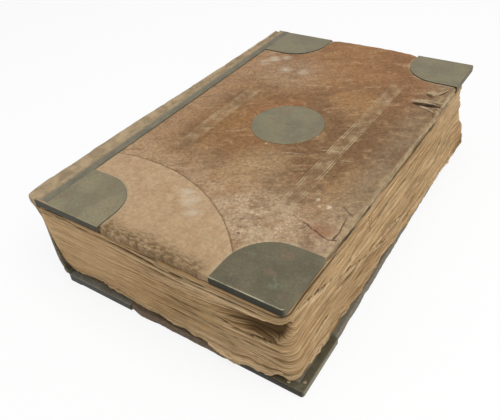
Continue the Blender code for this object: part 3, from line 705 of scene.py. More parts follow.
def page_outline(share):
    """Points, outward normals and way round of the pages' outline, for each share of their height."""
    share = np.asarray(share, float)[:, None]
    one = np.ones_like(share)
    back_x = PAGES_BACK + SPINE_FOOT_DEPTH * np.maximum(0, 1 - share * PAGES_THICK / PAGES_FOOT_HEIGHT)
    fore_x = SPINE_EDGE + COVER_WIDTH + PAGES_FORE_BOTTOM - PAGES_FORE_TAPER * share
    low_y = -HALF - PAGES_TAIL_OVERHANG + PAGES_TAIL_SETBACK * np.maximum(0, 1 - share) ** 1.6
    high_y = (-HALF + PAGES_LENGTH) * one
    near, far = PAGES_ROUND_TAIL * one, PAGES_ROUND_HEAD * one
    rings, normals = [], []

    def straight(x0, y0, x1, y1, count, normal):
        t = np.arange(count) / count
        rings.append(np.stack([x0 + (x1 - x0) * t, y0 + (y1 - y0) * t], -1))
        normals.append(np.broadcast_to(normal, rings[-1].shape))

    def corner(x, y, radius, start, count):
        angle = np.radians(start + 90 * np.arange(count) / count)
        way = np.stack([np.cos(angle), np.sin(angle)], -1)
        rings.append(np.stack([x, y], -1) + radius[..., None] * way)
        normals.append(np.broadcast_to(way, rings[-1].shape))

    straight(back_x, low_y, fore_x - near, low_y, TAIL_STEPS, (0, -1))
    corner(fore_x - near, low_y + near, near, -90, CORNER_STEPS)
    straight(fore_x, low_y + near, fore_x, high_y - far, FORE_STEPS, (1, 0))
    corner(fore_x - far, high_y - far, far, 0, CORNER_STEPS)
    straight(fore_x - far, high_y, back_x, high_y, HEAD_STEPS, (0, 1))
    straight(back_x, high_y, back_x, low_y, BACK_STEPS, (-1, 0))
    points = np.concatenate(rings, 1)
    middle = points[len(points) // 2]
    along = np.concatenate([[0], np.cumsum(np.linalg.norm(np.diff(middle, axis=0), axis=1))])
    return points, np.concatenate(normals, 1), along


# Cracks between loose leaves: places along the tail or the fore edge, with their heights.
TAIL_CRACKS = (((-0.057, 0.0880), (-0.020, 0.0882), (0.030, 0.0893), (0.072, 0.0905)),
               ((-0.035, 0.0840), (0.030, 0.0852), (0.125, 0.0872)),
               ((-0.005, 0.0785), (0.060, 0.0815)),
               ((-0.112, 0.0165), (-0.080, 0.0150), (-0.050, 0.0136), (-0.028, 0.0122), (0.006, 0.0115)),
               ((-0.128, 0.0930), (-0.090, 0.0905), (-0.060, 0.0880)),
               ((0.060, 0.0560), (0.100, 0.0540), (0.138, 0.0600)),
               ((0.030, 0.0440), (0.090, 0.0420), (0.136, 0.0450)),
               ((0.070, 0.0300), (0.110, 0.0290), (0.132, 0.0310)))
FORE_CRACKS = (((-0.216, 0.0900), (-0.183, 0.0810), (-0.149, 0.0740)),
               ((-0.175, 0.0560), (-0.115, 0.0530), (-0.0895, 0.0520), (-0.028, 0.0430), (0.028, 0.0305)),
               ((-0.205, 0.0620), (-0.150, 0.0620), (-0.100, 0.0690)),
               ((-0.070, 0.0710), (0.000, 0.0735), (0.060, 0.0790)),
               ((0.020, 0.0480), (0.090, 0.0520), (0.160, 0.0600)),
               ((-0.200, 0.0400), (-0.140, 0.0360), (-0.080, 0.0330)),
               ((-0.078, 0.0214), (-0.035, 0.0209), (0.009, 0.0205), (0.060, 0.0166)),
               ((-0.150, 0.0620), (-0.121, 0.0585), (-0.040, 0.0345), (0.034, 0.0309), (0.080, 0.0290)),
               ((-0.172, 0.0915), (-0.135, 0.0917), (-0.098, 0.0915)))
CRACK_REACH = 0.0008
CRACK_DEPTH = 0.0022
GAPE_DEPTH = 0.0030

# How far the lowest leaves reach out at places along the tail and along the fore edge.
TAIL_FOOT = ((-0.134, 0.0000), (-0.107, -0.0002), (-0.084, -0.0014), (-0.048, 0.0002), (0.0035, 0.0016),
             (0.0385, 0.0046), (0.0725, 0.0066), (0.094, 0.0080), (0.110, 0.0056),
             (0.1287, 0.0018), (0.140, 0.0))
FORE_FOOT = ((-0.220, -0.0034), (-0.150, -0.0034), (-0.125, -0.0029), (-0.110, -0.0014), (-0.080, -0.0018),
             (-0.052, -0.0026), (-0.039, -0.0020), (-0.020, -0.0010), (0.030, -0.0004), (0.200, -0.0010))

# The hollow under the near plate: heights of its roof and its floor at places along the tail.
HOLLOW_ROOF = ((0.062, 0.0780), (0.105, 0.0808), (0.134, 0.0845), (0.145, 0.0870))
HOLLOW_FLOOR = ((0.062, 0.0680), (0.078, 0.0605), (0.105, 0.0560), (0.127, 0.0585), (0.1356, 0.0665),
                (0.1468, 0.0790))
HOLLOW_DEPTH = 0.0085

# How much further in the leaves by the head lie.
HEAD_SETBACK = 0.0058


def crack_lines(lines_now, place_now, z, reach, facing):
    """How open the cracks are at a place and height, and how far it lies on the lip below one. facing is 1
    on the side that has these cracks."""
    opened, lip = 0 * place_now * z, 0 * place_now * z
    for line in lines_now:
        marks = np.array(line)
        height = np.interp(place_now, marks[:, 0], marks[:, 1])
        height = height + 0.0009 * noise(at(place_now, marks[0, 1]), (0.022, 1, 1), 18)
        ends = smooth(marks[0, 0] - 0.002, marks[0, 0] + 0.020, place_now)
        ends = ends * smooth(marks[-1, 0] + 0.002, marks[-1, 0] - 0.020, place_now)
        opened = np.maximum(opened, ends * smooth(reach, 0.4 * reach, np.abs(z - height)))
        lip = np.maximum(lip, ends * smooth(2.6 * reach, 1.3 * reach, np.abs(z - height + 2.4 * reach)))
    return opened * facing, lip * facing


def page_points():
    """The pages' layers, a lower and an upper ring each: points, painted shade in the gaps, the hollow and
    under the board, its place on the edges, its tone with painted shade and highlight, and how even it is."""
    rng = np.random.default_rng(11)
    layers = sizes().layers
    cuts = np.concatenate([[0], np.cumsum(rng.uniform(0.4, 1.6, layers))])
    cuts = cuts / cuts[-1]
    thick = np.diff(cuts)
    middle = (cuts[:-1] + cuts[1:]) / 2
    centre, ways, along = page_outline(middle)
    x, y = centre[..., 0], centre[..., 1]
    to_tail, to_fore = np.clip(-ways[..., 1], 0, 1), np.clip(ways[..., 0], 0, 1) * (x > 0)
    a, h = along[None, :], middle[:, None] * PAGES_THICK
    n = np.arange(layers)[:, None].astype(float)
    wander = sizes().waviness
    # the left half of the tail is pressed flat, the rest stands in bundles
    strong = np.clip(0.26 + 0.62 * smooth(-0.060, 0.030, x) - 0.25 * to_fore, 0, 1)
    push = wander * noise(at(a, h), (0.075, 0.013, 1), 3)
    push = push + 0.68 * wander * strong * noise(at(a, h), (0.034, 0.0042, 1), 4)
    own = rng.uniform(-1, 1, layers)[:, None]
    push = push + 0.00058 * own * (0.6 + 0.6 * noise(at(a, n), (0.05, 1, 1), 5))
    push = push + 0.00022 * noise(at(a, n), (0.0042, 1, 1), 6)
    # bundles of leaves, with cracks that open between them here and there
    bundle = np.cumsum(rng.random(layers) < 0.17)
    lean = noise(at(a, bundle[:, None] * 7.0), (0.090, 1, 1), 14)
    push = push + 0.0011 * strong * lean
    first = np.concatenate([[True], np.diff(bundle) > 0])[:, None]
    open_here = smooth(-0.15, 0.45, noise(at(a, bundle[:, None] * 5.0), (0.060, 1, 1), 7)) * strong
    gape = first * open_here
    # sheets lie looser at the top and at the bottom
    loose = np.maximum(smooth(0.90, 0.98, middle), smooth(0.10, 0.02, middle))[:, None]
    odd = (rng.random(layers) < 0.45)[:, None]
    gape = np.maximum(gape, loose * odd * smooth(-0.1, 0.4, noise(at(a, n), (0.11, 1, 1), 8)))
    push = push - GAPE_DEPTH * gape
    # a hollow under the near plate, and a swell at the foot of that corner
    z = PAGES_LOW + h
    roof, floor = np.interp(x, *zip(*HOLLOW_ROOF)), np.interp(x, *zip(*HOLLOW_FLOOR))
    hollow = smooth(0.058, 0.120, x) * smooth(0.05, 0.55, to_tail) * (x > 0)
    hollow = hollow * smooth(floor - 0.0010, floor + 0.0045, z) * smooth(roof + 0.0006, roof - 0.0030, z)
    push = push - HOLLOW_DEPTH * hollow
    corner = bump(np.hypot(x - 0.140, y + 0.220), 0, 0.05)
    push = push + 0.0016 * corner * bump(h, 0.024, 0.020) - 0.0030 * corner * smooth(0.014, 0.000, h)
    # the feet of the fore edge and of the tail, and the leaves by the head over a ragged corner at the foot
    foot = np.interp(y, *zip(*FORE_FOOT)) + 0.0007 * rough(at(y, 0 * y), (0.010, 1, 1), 28, 3)
    push = push + foot * to_fore * smooth(0.030, 0.002, h)
    ragged = z + 0.004 * noise(at(a, h), (0.012, 0.006, 1), 19)
    push = push - HEAD_SETBACK * to_fore * smooth(0.090, 0.160, y) * smooth(0.024, 0.042, ragged)
    foot = np.interp(x, *zip(*TAIL_FOOT)) + 0.0011 * rough(at(x, 0 * x), (0.010, 1, 1), 20, 3)
    push = push + foot * to_tail * smooth(0.026, 0.002, h) ** 1.5
    opened, lip = crack_lines(TAIL_CRACKS, x, z, CRACK_REACH, smooth(0.5, 0.9, to_tail))
    more, lip_more = crack_lines(FORE_CRACKS, y, z, CRACK_REACH, smooth(0.5, 0.9, to_fore))
    opened, lip = np.maximum(opened, more), np.maximum(lip, lip_more)
    push = push - CRACK_DEPTH * opened + 0.0006 * lip
    gape = np.maximum(gape, opened)
    tone = 0.75 * noise(at(a, bundle[:, None] * 3.0), (0.10, 1, 1), 15) + 0.35 * own
    tone = tone * (0.35 + 0.65 * strong)
    # frayed leaves at the foot of the tail and of the fore edge
    frayed = smooth(0.016, 0.004, h) * smooth(0.0, 0.5, rough(at(a, h), (0.018, 0.004, 1), 16, 2))
    push = push + 0.0016 * frayed * rough(at(a, h), (0.0045, 0.0022, 1), 17, 2)
    # painted shade in the hollow and a painted highlight on the lip under each crack; frayed leaves lighter
    tone = tone - 0.6 * frayed - 0.7 * lip + 1.3 * hollow - 0.22 * to_tail * smooth(0.060, 0.045, z)
    tone = tone + 0.9 * to_fore * smooth(0.150, 0.175, y) * smooth(0.040, 0.030, z)
    # warm and even on the left of the tail
    tone = tone - 0.35 * to_tail * smooth(0.010, -0.060, x) - 0.35 * to_fore * smooth(0.020, 0.150, y)
    even = to_tail * smooth(0.030, -0.050, x) * smooth(0.094, 0.084, z)
    shares = np.stack([cuts[:-1] + 0.10 * thick, cuts[1:] - 0.10 * thick], 1).ravel()
    points, normals, along = page_outline(shares)
    push = np.repeat(push, 2, 0)
    x = points[..., 0]
    calm = smooth(0, 0.014, x - PAGES_BACK)
    height = shares[:, None] * PAGES_THICK
    mild = np.sin(np.pi * shares)[:, None] ** 0.6
    lift = 0.0022 * noise(at(along[None, :], height), (0.085, 0.034, 1), 12)
    lift = lift + 0.0009 * noise(at(along[None, :], height), (0.030, 0.012, 1), 13)
    flat = points + normals * (push * calm)[..., None]
    z = PAGES_LOW + height + lift * mild * calm
    # painted shade: in the opened gaps, in the hollow and on the top leaves under the board
    under = smooth(0.9, 1.0, shares)[:, None] + 0 * height
    deep = np.clip(np.repeat(gape, 2, 0) * 0.9 + np.repeat(hollow, 2, 0) * 0.74 + 0.25 * under, 0, 1)
    edge = at(along[None, :] + 0 * height, height + 0 * along[None, :], np.repeat(n, 2, 0))
    return np.concatenate([flat, z[..., None]], -1), deep, edge, np.repeat(tone, 2, 0), np.repeat(even, 2, 0)


class BOOK_OT_pages(bpy.types.Operator):
    """Builds the swollen block of pages from layers of leaves"""

    bl_idname = "book.pages"
    bl_label = "Pages"

    def execute(self, context):
        points, deep, edge, tone, calm = page_points()
        rings, count = points.shape[:2]
        faces = grid_faces(rings, count, closed=True)
        faces.append(list(range(count - 1, -1, -1)))
        faces.append(list(range((rings - 1) * count, rings * count)))
        made = new_piece("page_block", points, faces, paper_material("old_paper"),
                         {"deep": deep, "edge": edge, "tone": tone, "calm": calm})
        made.data.materials.append(leaf_material("old_leaf"))
        for leaf in made.data.polygons[-2:]:
            leaf.material_index = 1
        settle(made, "text_block", ["text_block"])
        return {"FINISHED"}


# Covers. Their points are worked out in the cover's own frame: across from its spine edge, along from its
# middle to the head, and inwards from the plates' outer face.


def front_place(across, along, inwards):
    """Where a place in the front cover's frame lies in the book."""
    return at(SPINE_EDGE + across, along, BOOK_TOP - np.asarray(inwards, float))


def back_place(across, along, inwards):
    """Where a place in the back cover's frame lies in the book, with the cover's small turn."""
    x, y = np.asarray(across, float) + BACK_HINGE_OUT, np.asarray(along, float)
    c, s = math.cos(BACK_SKEW), math.sin(BACK_SKEW)
    return at(BACK_HINGE[0] + x * c - y * s, BACK_HINGE[1] + x * s + y * c, inwards)


# How far a corner that has lost its plate is worn back.
LOST_CORNER = 0.007


def worn_inset(along, start, end, depth, seed):
    """How far an edge is worn back at a place along it, fading out at the plates."""
    fade = smooth(0, 0.014, along - start) * smooth(0, 0.014, end - along)
    ragged = 0.0005 * rough(at(along, 0 * along), 0.012, seed, 4)
    return fade * (depth * (1 + 0.2 * noise(at(along, 0 * along), 0.05, seed + 5)) + ragged)


def lines(marks, step, fine, finer):
    """Places from the first mark to the last, with every mark among them. finer has the spans with the
    fine step."""
    places = [np.array([marks[0]])]
    for low, high in zip(marks, marks[1:]):
        middle = (low + high) / 2
        size = fine if any(a <= middle <= b for a, b in finer) else step
        count = max(1, round((high - low) / size))
        places.append(low + (high - low) * np.arange(1, count + 1) / count)
    return np.concatenate(places)


def plates_depth(x, y):
    """How far a place on a cover lies outside the nearest corner plate; less than 0 inside one."""
    return np.minimum.reduce([plate_depth(x, y, at_fore, low) for at_fore in (False, True)
                              for low in (False, True)])


def plate_depth(x, y, at_fore, low):
    """How far a place on a cover lies outside a corner plate, in the cover's frame; less than 0 inside."""
    u = COVER_WIDTH - x if at_fore else x - STRIP_WIDTH
    v = y + HALF if low else HALF - y
    du, dv = u - (PLATE_X - PLATE_ROUND), v - (PLATE_Y - PLATE_ROUND)
    outside = np.hypot(np.maximum(du, 0), np.maximum(dv, 0))
    rounded = outside + np.minimum(np.maximum(du, dv), 0) - PLATE_ROUND
    return rounded if at_fore else np.maximum(rounded, -u)


# So little that a point on a line counts as inside it.
SLACK = 0.00005


def under_flange(x, y, let_in, lost_corner):
    """Whether a place on a cover's inner face lies under a plate's flange."""
    under = np.zeros(x.shape, bool)
    for at_fore, tail in ((False, True), (False, False), (True, True), (True, False)):
        if lost_corner and at_fore and not tail:
            continue
        v = y + HALF if tail else HALF - y
        u = COVER_WIDTH - x if at_fore else x
        reach = PLATE_X + CLEARANCE + (0 if at_fore else STRIP_WIDTH)
        under |= (v < let_in) & (u < reach + SLACK)
        if at_fore:
            under |= (u < let_in) & (v < PLATE_Y + CLEARANCE + SLACK)
    return under


def cover_shell(name, where, relief, wears, edge_round, material, outward_up, lost_corner=False):
    """A board's leather as a closed shell: relief on the outer face, a rounded rim, and an inner face
    that is let in under the plates' flanges.

    where turns places in the cover's frame into the book's. relief gives height, wear, painted shade,
    crumpling and nearness to the metal for places on the board. wears: how far the tail, fore and head edges
    are worn back, and the fore edge again towards the head. lost_corner: the head and fore corner has no
    plate.
    """
    step = sizes().leather_step * 1
    first, last = STRIP_WIDTH + PLATE_X, COVER_WIDTH - PLATE_X
    width = COVER_WIDTH - BOARD_FACE - edge_round
    half = HALF - BOARD_FACE - edge_round
    let_in = FLANGE + CLEARANCE
    far = COVER_WIDTH - let_in
    near, out = HALF - let_in, HALF - PLATE_Y - CLEARANCE
    xs = lines([0, 0.003, first, first + CLEARANCE, first + 0.0007, last - 0.0007, last - CLEARANCE, last,
                0.238, far - 0.0004, far, width], step, step * 0.45, [(0.238, width)])
    ys = lines([-half, -near, -near + 0.0004, -0.200, -out, -out + 0.0004, 0.094, 0.136, out - 0.0004, out,
                near - 0.0004, near, half], step, step * 0.45, [(-half, -0.200), (0.094, 0.136)])
    nominal_x, nominal_y = np.meshgrid(xs, ys)
    corner = smooth(0.030, 0.0, np.hypot(width - nominal_x, half - nominal_y))
    corner = corner * (LOST_CORNER if lost_corner else 0)
    tail_wear, near_wear, head_wear, far_wear = wears
    fore_wear = near_wear + (far_wear - near_wear) * np.clip((nominal_y + 0.160) / 0.220, 0, 1)
    right = width - worn_inset(nominal_y, -out, HALF if lost_corner else out, fore_wear, 21) - corner
    low = worn_inset(nominal_x, first, last, tail_wear, 22)
    high = worn_inset(nominal_x, first, HALF if lost_corner else last, head_wear, 23) + corner
    x = nominal_x * right / width
    share = (nominal_y + half) / (2 * half)
    y = nominal_y + low * (1 - share) ** 3 - high * share ** 3
    raised, worn, deep, crumple, beside = relief(x, y)
    rows, columns = x.shape
    index = np.arange(rows * columns).reshape(rows, columns)
    loop = np.concatenate([index[0, :-1], index[:-1, -1], index[-1, :0:-1], index[:0:-1, 0]])
    flat = np.stack([x, y, BOARD_FACE - raised], -1).reshape(-1, 3)
    way = np.zeros((rows, columns, 2))
    way[0, :, 1] -= 1
    way[-1, :, 1] += 1
    way[:, -1, 0] += 1
    way = way.reshape(-1, 2)[loop]
    way /= np.maximum(np.linalg.norm(way, axis=1), 1)[:, None]
    start = flat[loop]
    inner = np.where(under_flange(x, y, let_in + SLACK, lost_corner), REBATE_FLOOR, COVER_THICKNESS)
    inside = np.stack([x, y, inner], -1).reshape(-1, 3)
    edge_deep = inside[loop, 2]
    shells = [flat]
    profile = [(math.sin(a), 1 - math.cos(a)) for a in np.radians([20, 40, 60, 75, 90])]
    for out_share, down_share in profile:
        z = start[:, 2] + down_share * edge_round
        jitter = 0.00030 * rough(at(start[:, 0], start[:, 1], z), 0.006, 24)
        shells.append(np.column_stack([start[:, :2] + way * (edge_round * out_share + jitter)[:, None], z]))
    for share_down, out_now in ((0.5, 0.0), (1.0, 0.0004)):
        z = shells[5][:, 2] * (1 - share_down) + (edge_deep - 0.0006) * share_down
        jitter = 0.00035 * rough(at(start[:, 0], start[:, 1], z), 0.006, 24)
        shells.append(np.column_stack([start[:, :2] + way * (edge_round - out_now + jitter)[:, None], z]))
    shells.append(np.column_stack([start[:, :2] + way * (edge_round - 0.0012), edge_deep]))
    count, number = len(loop), len(shells) - 1
    base = rows * columns
    faces = grid_faces(rows, columns)
    before = loop
    for k in range(number):
        ring = base + k * count + np.arange(count)
        faces += np.stack([before, ring, np.roll(ring, -1), np.roll(before, -1)], -1).tolist()
        before = ring
    inner_start = base + number * count
    faces += np.stack([before, inner_start + loop, inner_start + np.roll(loop, -1), np.roll(before, -1)],
                      -1).tolist()
    faces += [face[::-1] for face in grid_faces(rows, columns, start=inner_start)]
    everything = np.concatenate([*shells, inside])
    placed = where(everything[:, 0], everything[:, 1], everything[:, 2])
    if not outward_up:
        faces = [face[::-1] for face in faces]
    rim = np.concatenate([np.full(count, value) for value in (0.45, 0.6, 0.8, 0.9, 1, 1, 1, 0.8)])
    inward = np.minimum(np.minimum(y + HALF, HALF - y), COVER_WIDTH - x).ravel()
    spread = inward + 0.0015 * noise(at(x.ravel(), y.ravel()), 0.02, 25)
    worn_all = np.concatenate([worn.ravel(), np.maximum(np.tile(worn.ravel()[loop], number), rim),
                               0.9 * smooth(0.014, 0.009, spread)])
    # painted shade under the front's fore edge by the near plate
    painted_gap_shade = smooth(-0.168, -0.155, start[:, 1]) * smooth(-0.055, -0.090, start[:, 1])
    painted_gap_shade = painted_gap_shade * smooth(width - 0.012, right.min(), start[:, 0]) * (0 if lost_corner else 1)
    painted_gap_shade = painted_gap_shade * (0.72 + 0.5 * noise(at(start[:, 0], start[:, 1]), 0.012, 29))
    rim_painted_shade = np.concatenate([share_now * painted_gap_shade for share_now in (0, 0, 0, 0.30, 0.55, 0.65, 0.8, 1)])
    # painted shade on the inner face along its edges, where the board meets the pages
    painted_shade_all = np.concatenate([deep.ravel(), rim_painted_shade,
                               (0.3 if lost_corner else 0.8) * smooth(0.018, 0.006, spread)])
    lined = np.concatenate([0 * x.ravel(), 0 * rim,
                            smooth(0.0135, 0.0155, spread) * smooth(0.0010, 0.0030, x.ravel())])
    crumple_all = np.concatenate([crumple.ravel(), np.tile(crumple.ravel()[loop], number), 0 * x.ravel()])
    beside_all = np.concatenate([beside.ravel(), 0 * rim, 0 * x.ravel()])
    return new_piece(name, placed, faces, material,
                     {"worn": worn_all, "deep": painted_shade_all, "crumple": crumple_all, "lined": lined,
                      "beside": beside_all})


# How far the front cover's head edge rises between its plates.
HEAD_RISE = 0.0013


def front_relief(x, y):
    """Height, wear, painted shade, crumpling and nearness to the metal of the front cover's leather."""
    wx = x + SPINE_EDGE
    p = at(wx, y)
    wrinkle = sizes().wrinkle
    raised = 0.0003 + 0.6 * wrinkle * rough(p, 0.030, 41) * 0.5 + 0.25 * wrinkle * rough(p, 0.007, 42)
    from_tail = y + HALF
    crumple = smooth(0.030, 0.010, from_tail - 0.010 * noise(p, 0.03, 45)) * smooth(-0.072, -0.056, wx)
    crumple = crumple * smooth(0.074, 0.050, wx)
    ridges = 1 - np.abs(noise(p, (0.012, 0.0036, 1), 43)) * 2
    raised = raised + crumple * 1.9 * wrinkle * ridges
    inside = smooth(PALE_RADIUS + 0.0008, PALE_RADIUS - 0.0008,
                    np.hypot(wx - PALE_CENTRE[0], y - PALE_CENTRE[1]))
    raised = raised - 0.00018 * inside
    # the head edge stands up a little between its plates
    risen = smooth(0.040, 0.004, HALF - y) * smooth(-0.075, -0.020, wx) * smooth(0.078, 0.020, wx)
    raised = raised + HEAD_RISE * risen
    beside = np.minimum(plates_depth(x, y), x - STRIP_WIDTH)
    raised = raised * smooth(0.0008, 0.004, beside) + 0.0003 * smooth(0.0008, 0.003, beside)
    raised = np.where(beside < 0.0008, 0, raised)
    tear = torn_depth(wx, y)
    raised = raised - 0.0018 * tear
    fore = smooth(0.1335, 0.1385, wx + 0.0015 * noise(p, 0.02, 44))
    worn = 0.9 * fore + 0.7 * smooth(0.005, 0.0, from_tail + 0.002 * noise(p, 0.01, 46))
    # rubbed round the torn gaps, and painted shade in a line along the fore edge here and there
    off_x, off_y = np.maximum(np.abs(wx - 0.126) - 0.012, 0), np.maximum(np.abs(y - 0.118) - 0.020, 0)
    around = smooth(0.007, 0.0, np.hypot(off_x, off_y))
    worn = np.maximum(worn, (0.35 + 0.35 * noise(p, 0.006, 49)) * around)
    groove_shade = bump(wx + 0.0008 * noise(p, 0.012, 47), 0.1325, 0.0022)
    groove_shade = groove_shade * smooth(0.15, -0.15, noise(p, 0.055, 48) + 0.15)
    groove_shade = 0.24 * groove_shade * (np.abs(y) < 0.155)
    # painted shade in the crumples' troughs, in the torn gaps and in the line along the fore edge
    deep = np.maximum.reduce([0.16 * crumple * smooth(0.2, -0.6, ridges), tear, groove_shade])
    pale = smooth(0.0042, 0.0012, plates_depth(x, y) + 0.0014 * noise(p, 0.007, 50))
    pale = pale * (0.65 + 0.35 * noise(p, 0.018, 53))
    return raised, np.clip(worn, 0, 1), np.clip(deep, 0, 1), np.clip(crumple, 0, 1), np.clip(pale, 0, 1)


# The torn gaps by the head and fore corner: lines on the cover, with how far they open to each side.
TEARS = ((((0.1035, 0.1105), (0.1130, 0.1172), (0.1250, 0.1182), (0.1355, 0.1195)), 0.0018),
         (((0.1060, 0.1060), (0.1180, 0.1055), (0.1300, 0.1075), (0.1405, 0.1110)), 0.0038),
         (((0.1140, 0.1310), (0.1190, 0.1280), (0.1235, 0.1255)), 0.0016),
         (((0.1260, 0.1320), (0.1290, 0.1360), (0.1310, 0.1420)), 0.0015),
         (((0.1335, 0.1035), (0.1365, 0.1020)), 0.0016))


def torn_depth(wx, y):
    """1 in the torn gaps by the head and fore corner, 0 beside them."""
    found = 0 * wx
    for line, reach in TEARS:
        marks = np.array(line)
        middle = np.interp(wx, marks[:, 0], marks[:, 1])
        share = (wx - marks[0, 0]) / (marks[-1, 0] - marks[0, 0])
        open_by = reach * np.sqrt(np.clip(4 * share * (1 - share), 0, 1))
        beside = np.abs(y - middle) / np.maximum(open_by, 1e-5)
        found = np.maximum(found, smooth(1.0, 0.5, beside) * (open_by > 0))
    return found


def back_relief(x, y):
    """The same for the back cover's leather, which is plainer."""
    p = at(x, y)
    beside = np.minimum(plates_depth(x, y), x - STRIP_WIDTH)
    raised = (0.0004 + 0.0001 * rough(p, 0.030, 51)) * smooth(0.0008, 0.004, beside)
    return raised, 0.3 + 0.3 * noise(p, 0.03, 52), 0 * x, 0 * x, 0 * x


# How far the boards' tail, fore and head edges are worn back between the plates, and the fore edge again
# towards the head. Less than 0 stands proud. Then how round their leather's edges are.
FRONT_WEARS = (-0.0006, -0.0022, -0.0026, -0.0022)
FRONT_EDGE_ROUND = 0.0036
BACK_WEARS = (-0.0022, 0.0000, 0.0020, 0.0053)
BACK_EDGE_ROUND = 0.0018


class BOOK_OT_front_leather(bpy.types.Operator):
    """Builds the front cover's worn leather"""

    bl_idname = "book.front_leather"
    bl_label = "Front leather"

    def execute(self, context):
        made = cover_shell("front_cover_leather", front_place, front_relief, FRONT_WEARS, FRONT_EDGE_ROUND,
                           leather_material("worn_leather"), True)
        settle(made, "front_cover", ["front_board"])
        return {"FINISHED"}


class BOOK_OT_back_leather(bpy.types.Operator):
    """Builds the back cover's leather"""

    bl_idname = "book.back_leather"
    bl_label = "Back leather"

    def execute(self, context):
        made = cover_shell("back_cover_leather", back_place, back_relief, BACK_WEARS, BACK_EDGE_ROUND,
                           plain_leather_material("back_leather"), False, True)
        settle(made, "back_cover", ["back_board"])
        return {"FINISHED"}


# The first line whose words begin a node's name gives its material and the settings of that.
METAL_FINISHES = (
    # nails lighter than the plates
    ("back_plate_tail_fore_nail", "lighter_brass_nail", {"light": 1.7, "fore": 1.0}),
    # cooler and lighter than the other back plates: painted light on a plate that lies in the pages' shadow
    ("back_plate_tail_spine", "patinated_brass_painted_light", {"edge": 0.0, "cool": True}),
    # the other back plates: walls to the fore edge painted lighter (painted light)
    ("back", "patinated_brass_low", {"light": 0.50, "fore": 2.3, "edge": 0.0, "browned": 0.12}),
    ("front_plate_tail_spine", "patinated_brass_light", {"light": 1.12}),
    # the near plate: darker all over as painted shade, walls to the fore edge painted lighter, and a strong
    # painted highlight with rubbing on its fold
    ("front_plate_tail_fore", "patinated_brass_painted_shade", {"light": 0.60, "fore": 1.25, "edge": 0.9}),
    ("front", "patinated_brass", {}),
)


class BOOK_OT_metal(bpy.types.Operator):
    """Gives the plates, the disc and the nails their dulled brass"""

    bl_idname = "book.metal"
    bl_label = "Metal"

    def execute(self, context):
        finishes = [(begins, metal_material(name, **settings)) for begins, name, settings in METAL_FINISHES]
        for name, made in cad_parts.items():
            if "_plate_" in name or "_disc" in name:
                made.data.materials.clear()
                made.data.materials.append(next(metal for begins, metal in finishes
                                                if name.startswith(begins)))
        return {"FINISHED"}


# Leather of the spine and its joints.

ROLL_RADIUS = 0.0042
ROLL_X = SPINE_EDGE - 0.001 - ROLL_RADIUS
ROLL_Z = BOOK_TOP - CLEARANCE - ROLL_RADIUS


def smooth_line(points, steps):
    """A smooth line through the points (Catmull-Rom), with so many steps from each to the next."""
    p = np.asarray([points[0], *points, points[-1]], float)
    line = []
    for a, b, c, d, count in zip(p, p[1:], p[2:], p[3:], steps):
        t = (np.arange(count) / count)[:, None]
        line.append(b + 0.5 * t * (c - a + t * (2 * a - 5 * b + 4 * c - d + t * (3 * (b - c) + d - a))))
    return np.concatenate([*line, p[-1:]])


